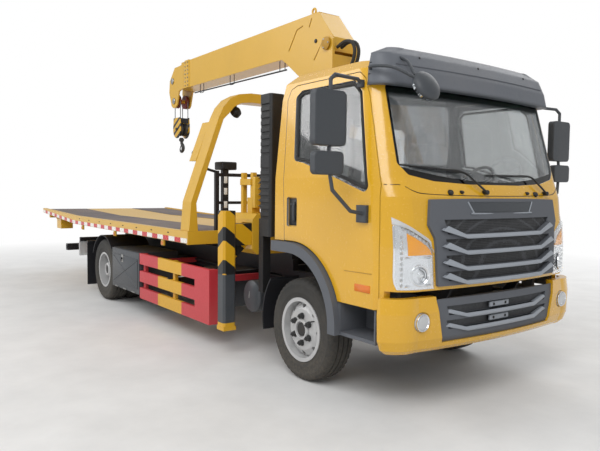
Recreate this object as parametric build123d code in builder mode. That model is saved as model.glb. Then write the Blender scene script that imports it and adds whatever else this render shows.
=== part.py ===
from build123d import *
import math
import os

os.makedirs("parts", exist_ok=True)

# Overall sizes in mm. Stations are measured forward from the front axle.
front_overhang = 1265
wheelbase = 4500
rear_overhang = 3050
overall_length = front_overhang + wheelbase + rear_overhang
front_axle_x = overall_length / 2 - front_overhang
rear_axle_station = -wheelbase

# Clearances
seat_gap = 0.3
pin_clearance = 0.1
door_gap = 5

# Wheels
tyre_radius = 420
tyre_width = 240
rim_radius = 262
front_wheel_y = 856
rear_outer_y = 985
rear_inner_y = 705
kingpin_y = 720
kingpin_radius = 20
spindle_radius = 36
hub_bore = spindle_radius + pin_clearance
stud_circle = 222
hand_hole_circle = 392

# Frame
rail_in = 375
rail_out = 440
rail_bottom = 560
rail_top = 770
rail_front = 1000
rail_rear = -6000
rail_wall = 9
subframe_top = 880
tilt_rail_top = 975
tilt_rail_in = 300
tilt_rail_out = 368

# Cab
cab_wall = 45
cab_bottom = 748
cab_front_bottom = 885
cab_front_step = 1035
cab_floor_top = 1020
cab_floor_bottom = 975
cab_top = 2512
cab_rear = -250
cab_pivot_station = 1150
cab_pivot_z = 940
cab_pivot_radius = 14
arch_z = 540
arch_radius = 606
flare_radius = 600
flare_inner_radius = 517
flare_out = 1100

# Bed
bed_front = -1670
bed_kink = -5650
bed_tail = -(wheelbase + rear_overhang)
bed_half_width = 1175
bed_rail_width = 60
deck_top = 1110
deck_plate = 15
tail_rise = 55
strip_in = 430
strip_out = 1090
strip_height = 3
tilt_pivot_station = -5250
tilt_pivot_z = 830
tilt_pin_radius = 25

# Crane
slew_station = -1085
boom_pivot_station = -721
boom_pivot_z = 2973
boom_pin_radius = 35
boom_half_width = 130
boom_bottom = 2955
boom_top = 3320
boom_mouth = -3950
cheek_in = 137
cheek_out = 165
cylinder_foot = (-1260, 1640)
cylinder_eye = (-1000, 2745)
sheave_station = -4347
sheave_z = 2819
sheave_radius = 84
rope_radius = 6
leg_size = 130
beam_bottom = 1040

# Rear underlift
lift_pivot_station = -5850
lift_pivot_z = 535
lift_pin_radius = 25
bar_socket_radius = 38


def span(a, b):
    return min(a, b), max(a, b)


def block(x0, x1, y0, y1, z0, z1, mode=Mode.ADD):
    """A box between two stations, two widths and two heights."""
    ya, yb = span(y0, y1)
    with Locations((front_axle_x + (x0 + x1) / 2, (ya + yb) / 2, (z0 + z1) / 2)):
        Box(x1 - x0, yb - ya, z1 - z0, mode=mode)


def side_prism(points, y0, y1, grow=0, radius=0, mode=Mode.ADD):
    """An outline of (station, z) points, run across the truck from y0 to y1."""
    ya, yb = span(y0, y1)
    with BuildSketch(Plane.XZ.offset(-yb)) as outline:
        with BuildLine():
            Polyline(*[(front_axle_x + x, z) for x, z in points], close=True)
        make_face()
        if radius:
            fillet(outline.vertices(), radius)
        if grow:
            offset(amount=grow, kind=Kind.INTERSECTION)
    extrude(outline.sketch, amount=yb - ya, mode=mode)


def front_prism(points, x0, x1, grow=0, radius=0, mode=Mode.ADD):
    """An outline of (y, z) points, run along the truck from station x0 to x1."""
    with BuildSketch(Plane.YZ.offset(front_axle_x + x0)) as outline:
        with BuildLine():
            Polyline(*points, close=True)
        make_face()
        if radius:
            fillet(outline.vertices(), radius)
        if grow:
            offset(amount=grow, kind=Kind.INTERSECTION)
    extrude(outline.sketch, amount=x1 - x0, mode=mode)


def plan_prism(points, z0, z1, mode=Mode.ADD):
    """An outline of (station, y) points, run up from z0 to z1."""
    with BuildSketch(Plane.XY.offset(z0)) as outline:
        with BuildLine():
            Polyline(*[(front_axle_x + x, y) for x, y in points], close=True)
        make_face()
    extrude(outline.sketch, amount=z1 - z0, mode=mode)


def rod(start, end, radius, mode=Mode.ADD):
    """A round bar between two (station, y, z) points."""
    a = Vector(front_axle_x + start[0], start[1], start[2])
    b = Vector(front_axle_x + end[0], end[1], end[2])
    with BuildSketch(Plane(origin=a, z_dir=b - a)) as disc:
        Circle(radius)
    extrude(disc.sketch, amount=(b - a).length, mode=mode)


def bent_rod(points, radius):
    """Round bars from point to point with a ball at each bend."""
    for start, end in zip(points, points[1:]):
        rod(start, end, radius)
    for x, y, z in points[1:-1]:
        with Locations((front_axle_x + x, y, z)):
            Sphere(radius)


def mirrored(points):
    """The outline's right half, with its mirror image added."""
    return points + [(-y, z) for y, z in reversed(points)]


def outline_section(z, half_width, side_end, corner_x, corner_y, nose, rear, inset):
    """One level outline with a bowed front and rounded front corners."""
    w = half_width - inset
    s = front_axle_x + side_end - inset * 0.4
    c = front_axle_x + corner_x - inset
    k = corner_y - inset * 0.4
    n = front_axle_x + nose - inset
    r = front_axle_x + rear + inset
    chord = math.hypot(c - s, w - k)
    bulge = 0.15 * chord
    mx = (s + c) / 2 + bulge * (w - k) / chord
    my = (w + k) / 2 + bulge * (c - s) / chord
    with BuildSketch(Plane.XY.offset(z)) as section:
        with BuildLine():
            Line((r, -w), (r, w))
            Line((r, w), (s, w))
            ThreePointArc((s, w), (mx, my), (c, k))
            ThreePointArc((c, k), (n, 0), (c, -k))
            ThreePointArc((c, -k), (mx, -my), (s, -w))
            Line((s, -w), (r, -w))
        make_face()
    return section.sketch


# z, half width, side end, corner x, corner y, nose, rear, share of an inset that lowers the level
cab_levels = [
    (cab_bottom, 1055, 960, 1172, 862, 1238, cab_rear, 0),
    (1180, 1060, 950, 1160, 864, 1226, cab_rear, 0),
    (1520, 1060, 915, 1118, 870, 1182, cab_rear, 0),
    (1650, 1058, 885, 1062, 885, 1128, cab_rear, 0),
    (2290, 998, 745, 878, 884, 940, -242, 0),
    (cab_top - 92, 974, 690, 818, 856, 880, -222, 0.35),
    (cab_top - 22, 905, 600, 735, 780, 790, -140, 0.8),
    (cab_top, 780, 480, 615, 650, 665, -30, 1),
]


def cab_loft(inset, mode=Mode.ADD):
    """The cab's outer form, drawn in by inset."""
    sections = []
    for z, half_width, side_end, corner_x, corner_y, nose, rear, drop in cab_levels:
        sections.append(outline_section(z - inset * drop, half_width, side_end, corner_x, corner_y, nose,
                                        rear, inset))
    loft(sections, ruled=True, mode=mode)


door_outline = [(1005, cab_bottom - 3), (1000, 1250), (985, 1600), (880, 1990), (812, 2230), (760, 2345),
                (700, 2396), (-60, 2396), (-140, 2368), (-168, 2285), (-145, 1920), (-115, 1240),
                (-110, cab_bottom - 3)]
window_outline = [(-5, 1790), (-50, 2300), (20, 2345), (660, 2340), (750, 2250), (905, 1530), (520, 1655),
                  (120, 1770)]
windscreen_outline = mirrored([(300, 1612), (640, 1630), (850, 1670), (922, 1745), (905, 2304), (500, 2318)])
rear_window_outline = mirrored([(430, 1620), (430, 2140)])
grille_outline = mirrored([(640, 912), (694, 912), (712, 1240), (760, 1330), (735, 1505), (300, 1512)])
headlamp_outline = [(716, 893), (985, 893), (1004, 960), (1000, 1335), (960, 1335), (770, 1225), (728, 1150)]


def arch_cut(radius, mode=Mode.SUBTRACT):
    """The front wheel opening: a circle with a level run behind it."""
    rod((0, -1300, arch_z), (0, 1300, arch_z), radius, mode=mode)
    block(cab_rear - 200, 0, -1300, 1300, 0, arch_z + radius, mode=mode)


# Frame
# station of each crossmember
frame_cross_stations = [-1250, -2300, -3300, -3950, -5050, -5850]
with BuildPart() as frame:
    for side in (-1, 1):
        block(rail_rear, rail_front, side * (rail_out - rail_wall), side * rail_out, rail_bottom, rail_top)
        for z in (rail_bottom, rail_top - rail_wall):
            block(rail_rear, rail_front, side * rail_in, side * rail_out, z, z + rail_wall)
        block(rail_front - 20, 1188, side * 380, side * 435, 610, 720)
        side_prism([(940, 760), (1010, 705), (1118, 900), (1150, cab_pivot_z - 22), (1150, cab_pivot_z + 22),
                    (1128, cab_pivot_z + 22)], side * 395, side * 425)
        rod((cab_pivot_station, side * 395, cab_pivot_z), (cab_pivot_station, side * 425, cab_pivot_z), 22)
        rod((cab_pivot_station, side * 395, cab_pivot_z), (cab_pivot_station, side * 458, cab_pivot_z),
            cab_pivot_radius)
        block(-200, -120, side * 380, side * 435, rail_top - 5, cab_floor_bottom - seat_gap)
        block(-5920, -5780, side * 100, side * 130, 480, 700)
    for station in frame_cross_stations:
        block(station - 40, station + 40, -rail_out + 4, rail_out - 4, 692, rail_top - 5)
    block(rail_front - 50, rail_front, -rail_out + 4, rail_out - 4, 600, rail_top - 5)
    block(-5990, -5945, -1000, 1000, 700, rail_top - 5)
    rod((lift_pivot_station, -130, lift_pivot_z), (lift_pivot_station, 130, lift_pivot_z), lift_pin_radius)
frame.part.label = "frame"
export_step(frame.part, "parts/frame.step")

with BuildPart() as subframe:
    for side in (-1, 1):
        block(-5480, -860, side * rail_in, side * rail_out, rail_top + seat_gap, subframe_top)
        block(-1290, -880, side * rail_in, side * rail_out, subframe_top - 5, 950 - seat_gap)
    for station in (-1085, -1850, -2900, -3950, -4900):
        block(station - 40, station + 40, -rail_in - 5, rail_in + 5, 800, subframe_top)
    rod((tilt_pivot_station, -rail_in - 5, tilt_pivot_z), (tilt_pivot_station, rail_in + 5, tilt_pivot_z),
        tilt_pin_radius)
subframe.part.label = "subframe"
export_step(subframe.part, "parts/subframe.step")

with BuildPart() as drivetrain:
    block(-350, 900, -330, 330, 500, 945)
    block(-1000, -350, -190, 190, 520, 860)
    block(100, 260, -rail_in + seat_gap, rail_in - seat_gap, 570, 700)
    rod((-1000, 0, 600), (-4297.5, 0, 440), 45)
drivetrain.part.label = "drivetrain"
export_step(drivetrain.part, "parts/drivetrain.step")

# Axles and springs
beam_top = 440
with BuildPart() as front_axle:
    front_prism(mirrored([(560, 330), (680, 380), (kingpin_y, 380), (kingpin_y, beam_top + 5), (640, beam_top + 5),
                          (480, beam_top), (300, 410)]), -38, 38)
    for side in (-1, 1):
        rod((0, side * kingpin_y, 360), (0, side * kingpin_y, 480), 42)
        rod((0, side * kingpin_y, 350), (0, side * kingpin_y, 490), kingpin_radius + pin_clearance,
            mode=Mode.SUBTRACT)
front_axle.part.label = "front_axle"
export_step(front_axle.part, "parts/front_axle.step")

with BuildPart() as rear_axle:
    rod((rear_axle_station, -570, tyre_radius), (rear_axle_station, 570, tyre_radius), 62)
    rod((rear_axle_station, -1040, tyre_radius), (rear_axle_station, 1040, tyre_radius), spindle_radius)
    with Locations((front_axle_x + rear_axle_station, 0, tyre_radius)):
        Sphere(185)
    rod((rear_axle_station, 0, 440), (rear_axle_station + 200 - seat_gap, 0, 440), 60)
rear_axle.part.label = "rear_axle"
export_step(rear_axle.part, "parts/rear_axle.step")

with BuildPart() as leaf_springs:
    for side in (-1, 1):
        side_prism([(-700, 535), (-350, 470), (0, beam_top + 5 + seat_gap), (350, 470), (700, 535),
                    (700, rail_bottom - seat_gap), (350, 510), (0, 490), (-350, 510),
                    (-700, rail_bottom - seat_gap)], side * 370, side * 440)
        side_prism([(-5200, 540), (-4750, 500), (-4500, 482 + seat_gap), (-4250, 500), (-3800, 540),
                    (-3800, rail_bottom - seat_gap), (-4250, 545), (-4500, 535), (-4750, 545),
                    (-5200, rail_bottom - seat_gap)], side * 370, side * 440)
leaf_springs.part.label = "leaf_springs"
export_step(leaf_springs.part, "parts/leaf_springs.step")

for side, hand in ((-1, "right"), (1, "left")):
    with BuildPart() as knuckle:
        rod((0, side * kingpin_y, 350), (0, side * kingpin_y, 490), kingpin_radius)
        rod((0, side * kingpin_y, 326), (0, side * kingpin_y, 354), 40)
        rod((0, side * kingpin_y, 486), (0, side * kingpin_y, 514), 40)
        block(-36, 36, side * (kingpin_y + 48), side * (kingpin_y + 74), 326, 514)
        block(-36, 36, side * kingpin_y, side * (kingpin_y + 60), 326, 354)
        block(-36, 36, side * kingpin_y, side * (kingpin_y + 60), 486, 514)
        rod((0, side * (kingpin_y + 70), tyre_radius), (0, side * 925, tyre_radius), spindle_radius)
    knuckle.part.label = "knuckle_" + hand
    export_step(knuckle.part, "parts/knuckle_" + hand + ".step")


def wheel_plane(station, y, side):
    """Local x runs outward along the axle, local y up from its line."""
    return Plane(origin=(front_axle_x + station, y, tyre_radius), x_dir=(0, side, 0), z_dir=(side, 0, 0))


def add_tyre(station, y, side):
    half = tyre_width / 2
    place = wheel_plane(station, y, side)
    with BuildSketch(place) as profile:
        with BuildLine():
            Polyline((-half + 16, 242), (half - 16, 242), (half - 14.5, 265), (half, 330), (half - 4, 378),
                     (half - 22, tyre_radius - 6), (half - 45, tyre_radius), (-half + 45, tyre_radius),
                     (-half + 22, tyre_radius - 6), (-half + 4, 378), (-half, 330), (-half + 14.5, 265),
                     close=True)
        make_face()
    revolve(profile.sketch, axis=Axis((front_axle_x + station, y, tyre_radius), (0, 1, 0)))


def add_rim(station, y, side, disc):
    """Barrel with flanges and a disc whose face stands at disc, outward from the tyre's middle."""
    half = tyre_width / 2
    place = wheel_plane(station, y, side)
    lip = 242 - seat_gap
    with BuildSketch(place) as profile:
        with BuildLine():
            Polyline((-half + 14, lip - 10), (-half + 14, lip), (half - 14, lip), (half - 14, rim_radius),
                     (half - 4, rim_radius), (half - 4, lip - 10), (40, lip - 14), (disc - 30, 214),
                     (disc, 168), (disc, hub_bore), (-55, hub_bore), (-55, 95), (disc - 14, 95),
                     (disc - 14, 160), (disc - 44, 206), (20, lip - 26), (-half + 14, lip - 24), close=True)
        make_face()
    revolve(profile.sketch, axis=Axis((front_axle_x + station, y, tyre_radius), (0, 1, 0)))
    holes = Plane(origin=(front_axle_x + station, y, tyre_radius), x_dir=(1, 0, 0), z_dir=(0, side, 0))
    with BuildSketch(holes) as ring:
        with PolarLocations(hand_hole_circle / 2, 8):
            Circle(19)
    extrude(ring.sketch, amount=half, mode=Mode.SUBTRACT)


# name, station, side, tyre middles
wheel_table = [
    ("front_right", 0, -1, [front_wheel_y]),
    ("front_left", 0, 1, [front_wheel_y]),
    ("rear_right", rear_axle_station, -1, [rear_inner_y, rear_outer_y]),
    ("rear_left", rear_axle_station, 1, [rear_inner_y, rear_outer_y]),
]
disc_face = 92
for name, station, side, middles in wheel_table:
    with BuildPart() as tyre:
        for y in middles:
            add_tyre(station, side * y, side)
    tyre.part.label = "tyre_" + name
    export_step(tyre.part, "parts/tyre_" + name + ".step")
    with BuildPart() as rim:
        add_rim(station, side * middles[0], side, disc_face)
        if len(middles) == 2:
            add_rim(station, side * middles[1], -side, disc_face)
            rod((station, side * (rear_inner_y + 50), tyre_radius),
                (station, side * (rear_outer_y + 10), tyre_radius), 94)
            rod((station, side * (rear_inner_y - 90), tyre_radius),
                (station, side * (rear_outer_y + 40), tyre_radius), hub_bore, mode=Mode.SUBTRACT)
    rim.part.label = "rim_" + name
    export_step(rim.part, "parts/rim_" + name + ".step")

# Cab
with BuildPart() as door_cutter:
    cab_loft(-2)
    cab_loft(cab_wall + 12, mode=Mode.SUBTRACT)
    side_prism(door_outline, -1400, 1400, radius=35, mode=Mode.INTERSECT)

with BuildPart() as cab_cavity:
    cab_loft(cab_wall)
    block(-400, 1400, -1200, 1200, cab_floor_bottom, cab_floor_top, mode=Mode.SUBTRACT)

with BuildPart() as windscreen_cutter:
    cab_loft(-2)
    front_prism(windscreen_outline, 650, 1400, radius=40, mode=Mode.INTERSECT)

with BuildPart() as cab_shell:
    cab_loft(0)
    add(cab_cavity.part, mode=Mode.SUBTRACT)
    add(door_cutter.part, mode=Mode.SUBTRACT)
    add(windscreen_cutter.part, mode=Mode.SUBTRACT)
    front_prism(rear_window_outline, cab_rear - 20, cab_rear + 80, radius=60, mode=Mode.SUBTRACT)
    arch_cut(arch_radius)
    block(cab_front_step, 1400, -1300, 1300, 0, cab_front_bottom, mode=Mode.SUBTRACT)
    for side in (-1, 1):
        rod((cab_pivot_station, side * 388, cab_pivot_z), (cab_pivot_station, side * 432, cab_pivot_z), 32,
            mode=Mode.SUBTRACT)
        block(1118, 1195, side * 432, side * 456, 905, cab_floor_bottom + 5)
        rod((cab_pivot_station, side * 425, cab_pivot_z), (cab_pivot_station, side * 458.5, cab_pivot_z),
            cab_pivot_radius + pin_clearance, mode=Mode.SUBTRACT)
cab_shell.part.label = "cab_shell"
export_step(cab_shell.part, "parts/cab_shell.step")

with BuildPart() as windscreen:
    cab_loft(8)
    cab_loft(14, mode=Mode.SUBTRACT)
    front_prism(windscreen_outline, 650, 1400, grow=-seat_gap, radius=40, mode=Mode.INTERSECT)
    front_prism(rear_window_outline, cab_rear + 12, cab_rear + 18, grow=-seat_gap, radius=60)
windscreen.part.label = "cab_glass"
export_step(windscreen.part, "parts/cab_glass.step")

# middle of each bar, top of the slot above it
grille_bars = [(929, 1009), (1025, 1121), (1137, 1233), (1249, 1366)]
bar_half = 15
with BuildPart() as bars:
    for middle, slot_top in grille_bars:
        front_prism(mirrored([(440, middle - bar_half), (664, middle + 46), (610, middle + 76),
                              (450, middle + bar_half)]), 950, 1400)
    cab_loft(-42, mode=Mode.INTERSECT)
    cab_loft(-2, mode=Mode.SUBTRACT)

with BuildPart() as grille:
    cab_loft(-22)
    cab_loft(-seat_gap, mode=Mode.SUBTRACT)
    front_prism(grille_outline, 950, 1400, radius=12, mode=Mode.INTERSECT)
    for middle, top in grille_bars:
        bottom = middle + bar_half + 1
        front_prism([(-598, bottom), (598, bottom), (622, top), (-622, top)], 950, 1400, mode=Mode.SUBTRACT)
    add(bars.part)
grille.part.label = "grille"
export_step(grille.part, "parts/grille.step")

with BuildPart() as headlamps:
    cab_loft(-16)
    cab_loft(-seat_gap, mode=Mode.SUBTRACT)
    front_prism(headlamp_outline, 980, 1400, mode=Mode.INTERSECT)
with BuildPart() as headlamps_left:
    cab_loft(-16)
    cab_loft(-seat_gap, mode=Mode.SUBTRACT)
    front_prism([(-y, z) for y, z in headlamp_outline], 980, 1400, mode=Mode.INTERSECT)
with BuildPart() as headlamp_pair:
    add(headlamps.part)
    add(headlamps_left.part)
headlamp_pair.part.label = "headlamps"
export_step(headlamp_pair.part, "parts/headlamps.step")

# z, half width, side end, corner x, corner y, nose, rear
visor_levels = [
    (2288, 1002, 835, 962, 905, 1024, 800),
    (2400, 996, 825, 942, 885, 1002, 800),
    (2510, 972, 815, 895, 850, 942, 800),
    (2568, 830, 806, 850, 700, 884, 800),
]
with BuildPart() as visor:
    loft([outline_section(*level, 0) for level in visor_levels], ruled=True)
    cab_loft(-seat_gap, mode=Mode.SUBTRACT)
visor.part.label = "visor"
export_step(visor.part, "parts/visor.step")

with BuildPart() as cab_interior:
    for y in (-540, 540):
        block(-60, 430, y - 220, y + 220, cab_floor_top + seat_gap, 1300)
        block(-60, 470, y - 250, y + 250, 1300, 1440)
        side_prism([(-60, 1400), (70, 1440), (-30, 2010), (-140, 2010)], y - 235, y + 235)
        side_prism([(-60, 1990), (-120, 1990), (-135, 2180), (-70, 2180)], y - 130, y + 130)
    side_prism([(600, 1250), (960, 1250), (960, 1480), (900, 1580), (640, 1540)], -900, 900)
    block(860, 960, -300, 300, cab_floor_top + seat_gap, 1260)
    rod((700, 540, 1450), (520, 540, 1600), 30)
    column = Vector(-180, 0, 150)
    wheel_seat = Plane(origin=(front_axle_x + 520, 540, 1600), z_dir=column)
    with BuildSketch(wheel_seat) as ring:
        Circle(225)
        Circle(195, mode=Mode.SUBTRACT)
        Rectangle(400, 40)
        Circle(60)
    extrude(ring.sketch, amount=28)
cab_interior.part.label = "cab_interior"
export_step(cab_interior.part, "parts/cab_interior.step")

with BuildPart() as flares_and_steps:
    for side in (-1, 1):
        rod((0, side * 1000, arch_z), (0, side * flare_out, arch_z), flare_radius)
        block(cab_rear, 0, side * 1000, side * flare_out, arch_z, arch_z + flare_radius)
    for side in (-1, 1):
        block(-700, 700, side * 990, side * 1110, -200, 505, mode=Mode.SUBTRACT)
        block(-700, cab_rear + 0, side * 990, side * 1110, 0, 1200, mode=Mode.SUBTRACT)
    arch_cut(flare_inner_radius)
    for side in (-1, 1):
        block(560, 975, side * 760, side * 1045, 505, 530)
        block(560, 975, side * 760, side * 790, 505, cab_bottom - 6)
        block(560, 600, side * 760, side * 1045, 505, cab_bottom - 6)
        block(960, 975, side * 760, side * 1045, 505, cab_bottom - 6)
        block(560, 975, side * 760, side * 960, cab_bottom - 16, cab_bottom - 6)
        block(860, 960, side * 790, side * 830, 700, cab_floor_bottom - seat_gap)
flares_and_steps.part.label = "flares_and_steps"
export_step(flares_and_steps.part, "parts/flares_and_steps.step")

for side, hand in ((-1, "right"), (1, "left")):
    with BuildPart() as door:
        cab_loft(0)
        cab_loft(cab_wall, mode=Mode.SUBTRACT)
        side_prism(door_outline, side * 700, side * 1400, grow=-door_gap, radius=35, mode=Mode.INTERSECT)
        side_prism(window_outline, side * 700, side * 1400, radius=45, mode=Mode.SUBTRACT)
        arch_cut(arch_radius + door_gap)
        side_prism([(-78, 1265), (60, 1265), (60, 1500), (-78, 1500)], side * 1040, side * 1100, radius=20,
                   mode=Mode.SUBTRACT)
    door.part.label = "door_" + hand
    export_step(door.part, "parts/door_" + hand + ".step")
    with BuildPart() as door_glass:
        cab_loft(14)
        cab_loft(20, mode=Mode.SUBTRACT)
        side_prism(window_outline, side * 700, side * 1400, grow=-seat_gap, radius=45, mode=Mode.INTERSECT)
    door_glass.part.label = "door_glass_" + hand
    export_step(door_glass.part, "parts/door_glass_" + hand + ".step")
    with BuildPart() as mirror:
        block(790, 850, side * 1225, side * 1485, 1850, 2212)
        block(800, 856, side * 1250, side * 1488, 1660, 1815)
        fillet(mirror.edges().filter_by(Axis.X), 35)
        block(728, 770, side * 1001, side * 1032, 2275, 2325)
        bent_rod([(750, side * 1015, 2300), (765, side * 1060, 2325), (815, side * 1300, 2320),
                  (825, side * 1345, 2285), (825, side * 1345, 2180)], 13)
        bent_rod([(825, side * 1345, 1900), (828, side * 1360, 1740), (838, side * 1330, 1560),
                  (850, side * 1180, 1420), (860, side * 1068, 1400)], 13)
        block(800, 900, side * (1060 + seat_gap), side * 1085, 1340, 1460)
    mirror.part.label = "mirror_" + hand
    export_step(mirror.part, "parts/mirror_" + hand + ".step")

# z, half width, side end, corner x, corner y, nose, rear
bumper_levels = [
    (462, 1030, 1062, 1142, 835, 1204, 1042),
    (490, 1068, 1066, 1172, 850, 1236, 1042),
    (555, 1094, 1070, 1192, 860, 1258, 1042),
    (740, 1100, 1072, 1198, 862, front_overhang, 1042),
    (845, 1088, 1066, 1186, 855, 1252, 1042),
]
insert_outline = mirrored([(640, 520), (704, 820)])
with BuildPart() as bumper_core:
    loft([outline_section(z, w - 60, s - 20, c - 60, k - 20, n - 60, r - 100, 0)
          for z, w, s, c, k, n, r in bumper_levels], ruled=True)
with BuildPart() as bumper:
    loft([outline_section(*level, 0) for level in bumper_levels], ruled=True)
    add(bumper_core.part, mode=Mode.SUBTRACT)
    front_prism(mirrored([(640, 520), (704, 820), (709, 900)]), 1000, 1400, mode=Mode.SUBTRACT)
    for side in (-1, 1):
        rod((1100, side * 836, 681), (1400, side * 836, 681), 62, mode=Mode.SUBTRACT)
        with Locations(Location((front_axle_x + 1215, side * 836, 681), (0, 90, 0))):
            Cone(62, 96, 50, mode=Mode.SUBTRACT)
bumper.part.label = "bumper"
export_step(bumper.part, "parts/bumper.step")

with BuildPart() as bumper_insert:
    front_prism(insert_outline, 1150, 1400, grow=-seat_gap)
    loft([outline_section(z, w - 18, s - 8, c - 18, k - 8, n - 18, r - 100, 0)
          for z, w, s, c, k, n, r in bumper_levels], ruled=True, mode=Mode.INTERSECT)
    for bottom, top in ((606, 668), (704, 768)):
        front_prism([(-575, bottom), (575, bottom), (598, top), (-598, top)], 1190, 1400, mode=Mode.SUBTRACT)
    front_prism(insert_outline, 1188 + seat_gap, 1400, mode=Mode.INTERSECT)
bumper_insert.part.label = "bumper_insert"
export_step(bumper_insert.part, "parts/bumper_insert.step")

with BuildPart() as lamps:
    for side in (-1, 1):
        rod((1186, side * 836, 681), (1206, side * 836, 681), 62 - seat_gap)
        block(-6025, -5990 - seat_gap, side * 780, side * 1000, 470, 700)
lamps.part.label = "chassis_lamps"
export_step(lamps.part, "parts/chassis_lamps.step")

# Chassis fittings
with BuildPart() as tanks:
    block(-2880, -1450, 500, 1000, 330, 730)
    fillet(tanks.edges().filter_by(Axis.X), 60)
    rod((-930, -860, 547), (-930, -500, 547), 150)
    block(-990, -870, -510, -rail_out - seat_gap, 600, 680)
    block(-2700, -2640, rail_out + seat_gap, 510, 600, 700)
    block(-1700, -1640, rail_out + seat_gap, 510, 600, 700)
    block(-1850, -1400, -900, -500, 360, 700)
    block(-1800, -1450, -510, -rail_out - seat_gap, 620, 690)
tanks.part.label = "tanks"
export_step(tanks.part, "parts/tanks.step")

with BuildPart() as mudguards:
    for side in (-1, 1):
        rod((0, side * 700, 450), (0, side * 1000, 450), 532)
        rod((0, side * 690, 450), (0, side * 1010, 450), 520, mode=Mode.SUBTRACT)
        block(-400, 700, side * 690, side * 1010, -100, 1100, mode=Mode.SUBTRACT)
        block(-700, 100, side * 690, side * 1010, -200, 330, mode=Mode.SUBTRACT)
        block(-545, -508, side * (rail_out + seat_gap), side * 720, 560, 600)
    for side in (-1, 1):
        rod((rear_axle_station, side * 575, 420), (rear_axle_station, side * 1115, 420), 482)
        rod((rear_axle_station, side * 570, 420), (rear_axle_station, side * 1120, 420), 472,
            mode=Mode.SUBTRACT)
        block(-5200, -3900, side * 570, side * 1120, -100, 620, mode=Mode.SUBTRACT)
        block(-4540, -4460, side * (rail_out + seat_gap), side * 590, 860, 896)
        block(-5262, -5248, side * 600, side * 1100, 110, 765)
        block(-5290, -5220, side * (rail_out + seat_gap), side * 1100, 735, 765)
mudguards.part.label = "mudguards"
export_step(mudguards.part, "parts/mudguards.step")

guard_y = 1145
with BuildPart() as side_guards:
    for side in (-1, 1):
        for z in (240, 440, 650):
            block(-3050, -1260, side * (guard_y - 40), side * guard_y, z, z + 130)
        block(-1575, -1260, side * (guard_y - 40), side * guard_y, 240, 780)
        block(-1275, -1260, side * (guard_y - 160), side * guard_y, 240, 780)
        for station in (-2990, -2150, -1290):
            block(station - 28, station + 28, side * (guard_y - 75), side * (guard_y - 38), 240, 780)
        for station in (-2990, -1330):
            block(station - 25, station + 25, side * (rail_out + seat_gap), side * (guard_y - 70), 640, 700)
side_guards.part.label = "side_guards"
export_step(side_guards.part, "parts/side_guards.step")

box_front = -3065
box_rear = -4015
box_bottom = 270
box_top = 780
lid_hinge_z = box_bottom + 12
with BuildPart() as tool_boxes:
    for side in (-1, 1):
        block(box_rear, box_front, side * 640, side * (guard_y - 22), box_bottom, box_top)
        block(box_rear + 15, box_front - 15, side * 655, side * guard_y, box_bottom + 15, box_top - 15,
              mode=Mode.SUBTRACT)
        for station in (-3850, -3250):
            block(station - 40, station + 40, side * (rail_out + seat_gap), side * 645, 620, 700)
tool_boxes.part.label = "tool_boxes"
export_step(tool_boxes.part, "parts/tool_boxes.step")
for side, hand in ((-1, "right"), (1, "left")):
    with BuildPart() as lid:
        block(box_rear + 4, box_front - 4, side * (guard_y - 22 + seat_gap), side * guard_y,
              box_bottom + 4, box_top - 4)
    lid.part.label = "tool_lid_" + hand
    export_step(lid.part, "parts/tool_lid_" + hand + ".step")

with BuildPart() as air_intake:
    block(-600, -420, -1000, -850, 1150, 2380)
    fillet(air_intake.edges().filter_by(Axis.Z), 30)
    block(-660, -590, -960, -880, 640, 1300)
    block(-660, -590, -960, -rail_out - seat_gap, 640, 700)
    for z in range(1300, 1780, 60):
        block(-610, -440, -1010, -985, z, z + 28, mode=Mode.SUBTRACT)
    for z in range(1850, 2330, 60):
        block(-610, -440, -1010, -985, z, z + 28, mode=Mode.SUBTRACT)
air_intake.part.label = "air_intake"
export_step(air_intake.part, "parts/air_intake.step")

# Crane base and outriggers
base_front = -870
base_rear = -1300
# hand, side, beam rear, beam front, leg station
outrigger_table = [
    ("right", -1, -1062, -888, -935),
    ("left", 1, -1282, -1108, -1190),
]
with BuildPart() as crane_base:
    front_prism([(-900, 1000), (-850, 950), (850, 950), (900, 1000), (900, 1280), (850, 1330), (-850, 1330),
                 (-900, 1280)], base_rear, base_front)
    for hand, side, beam_rear, beam_front, leg_station in outrigger_table:
        block(beam_rear - 6, beam_front + 6, side * 910, -side * 800, beam_bottom, beam_bottom + 206,
              mode=Mode.SUBTRACT)
    rod((slew_station, 0, 1325), (slew_station, 0, 1400), 250)
    for station in (-1280, -1100):
        block(station - 22, station + 22, -772, -728, 1325, 1722)
    block(-1290, -1090, -790, -710, 1600, 1660)
    block(-1150, -1060, -790, -700, 1325, 1480)
crane_base.part.label = "crane_base"
export_step(crane_base.part, "parts/crane_base.step")

with BuildPart() as control_levers:
    block(-1060 + seat_gap, -1010, -790, -700, 1380, 1680)
    block(-1070, -1050, -770, -730, 1480 + seat_gap, 1560)
    for z in (1400, 1455, 1510, 1565, 1620, 1670):
        rod((-1015, -745, z), (-900, -790, z + 4), 9)
control_levers.part.label = "control_levers"
export_step(control_levers.part, "parts/control_levers.step")

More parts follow.
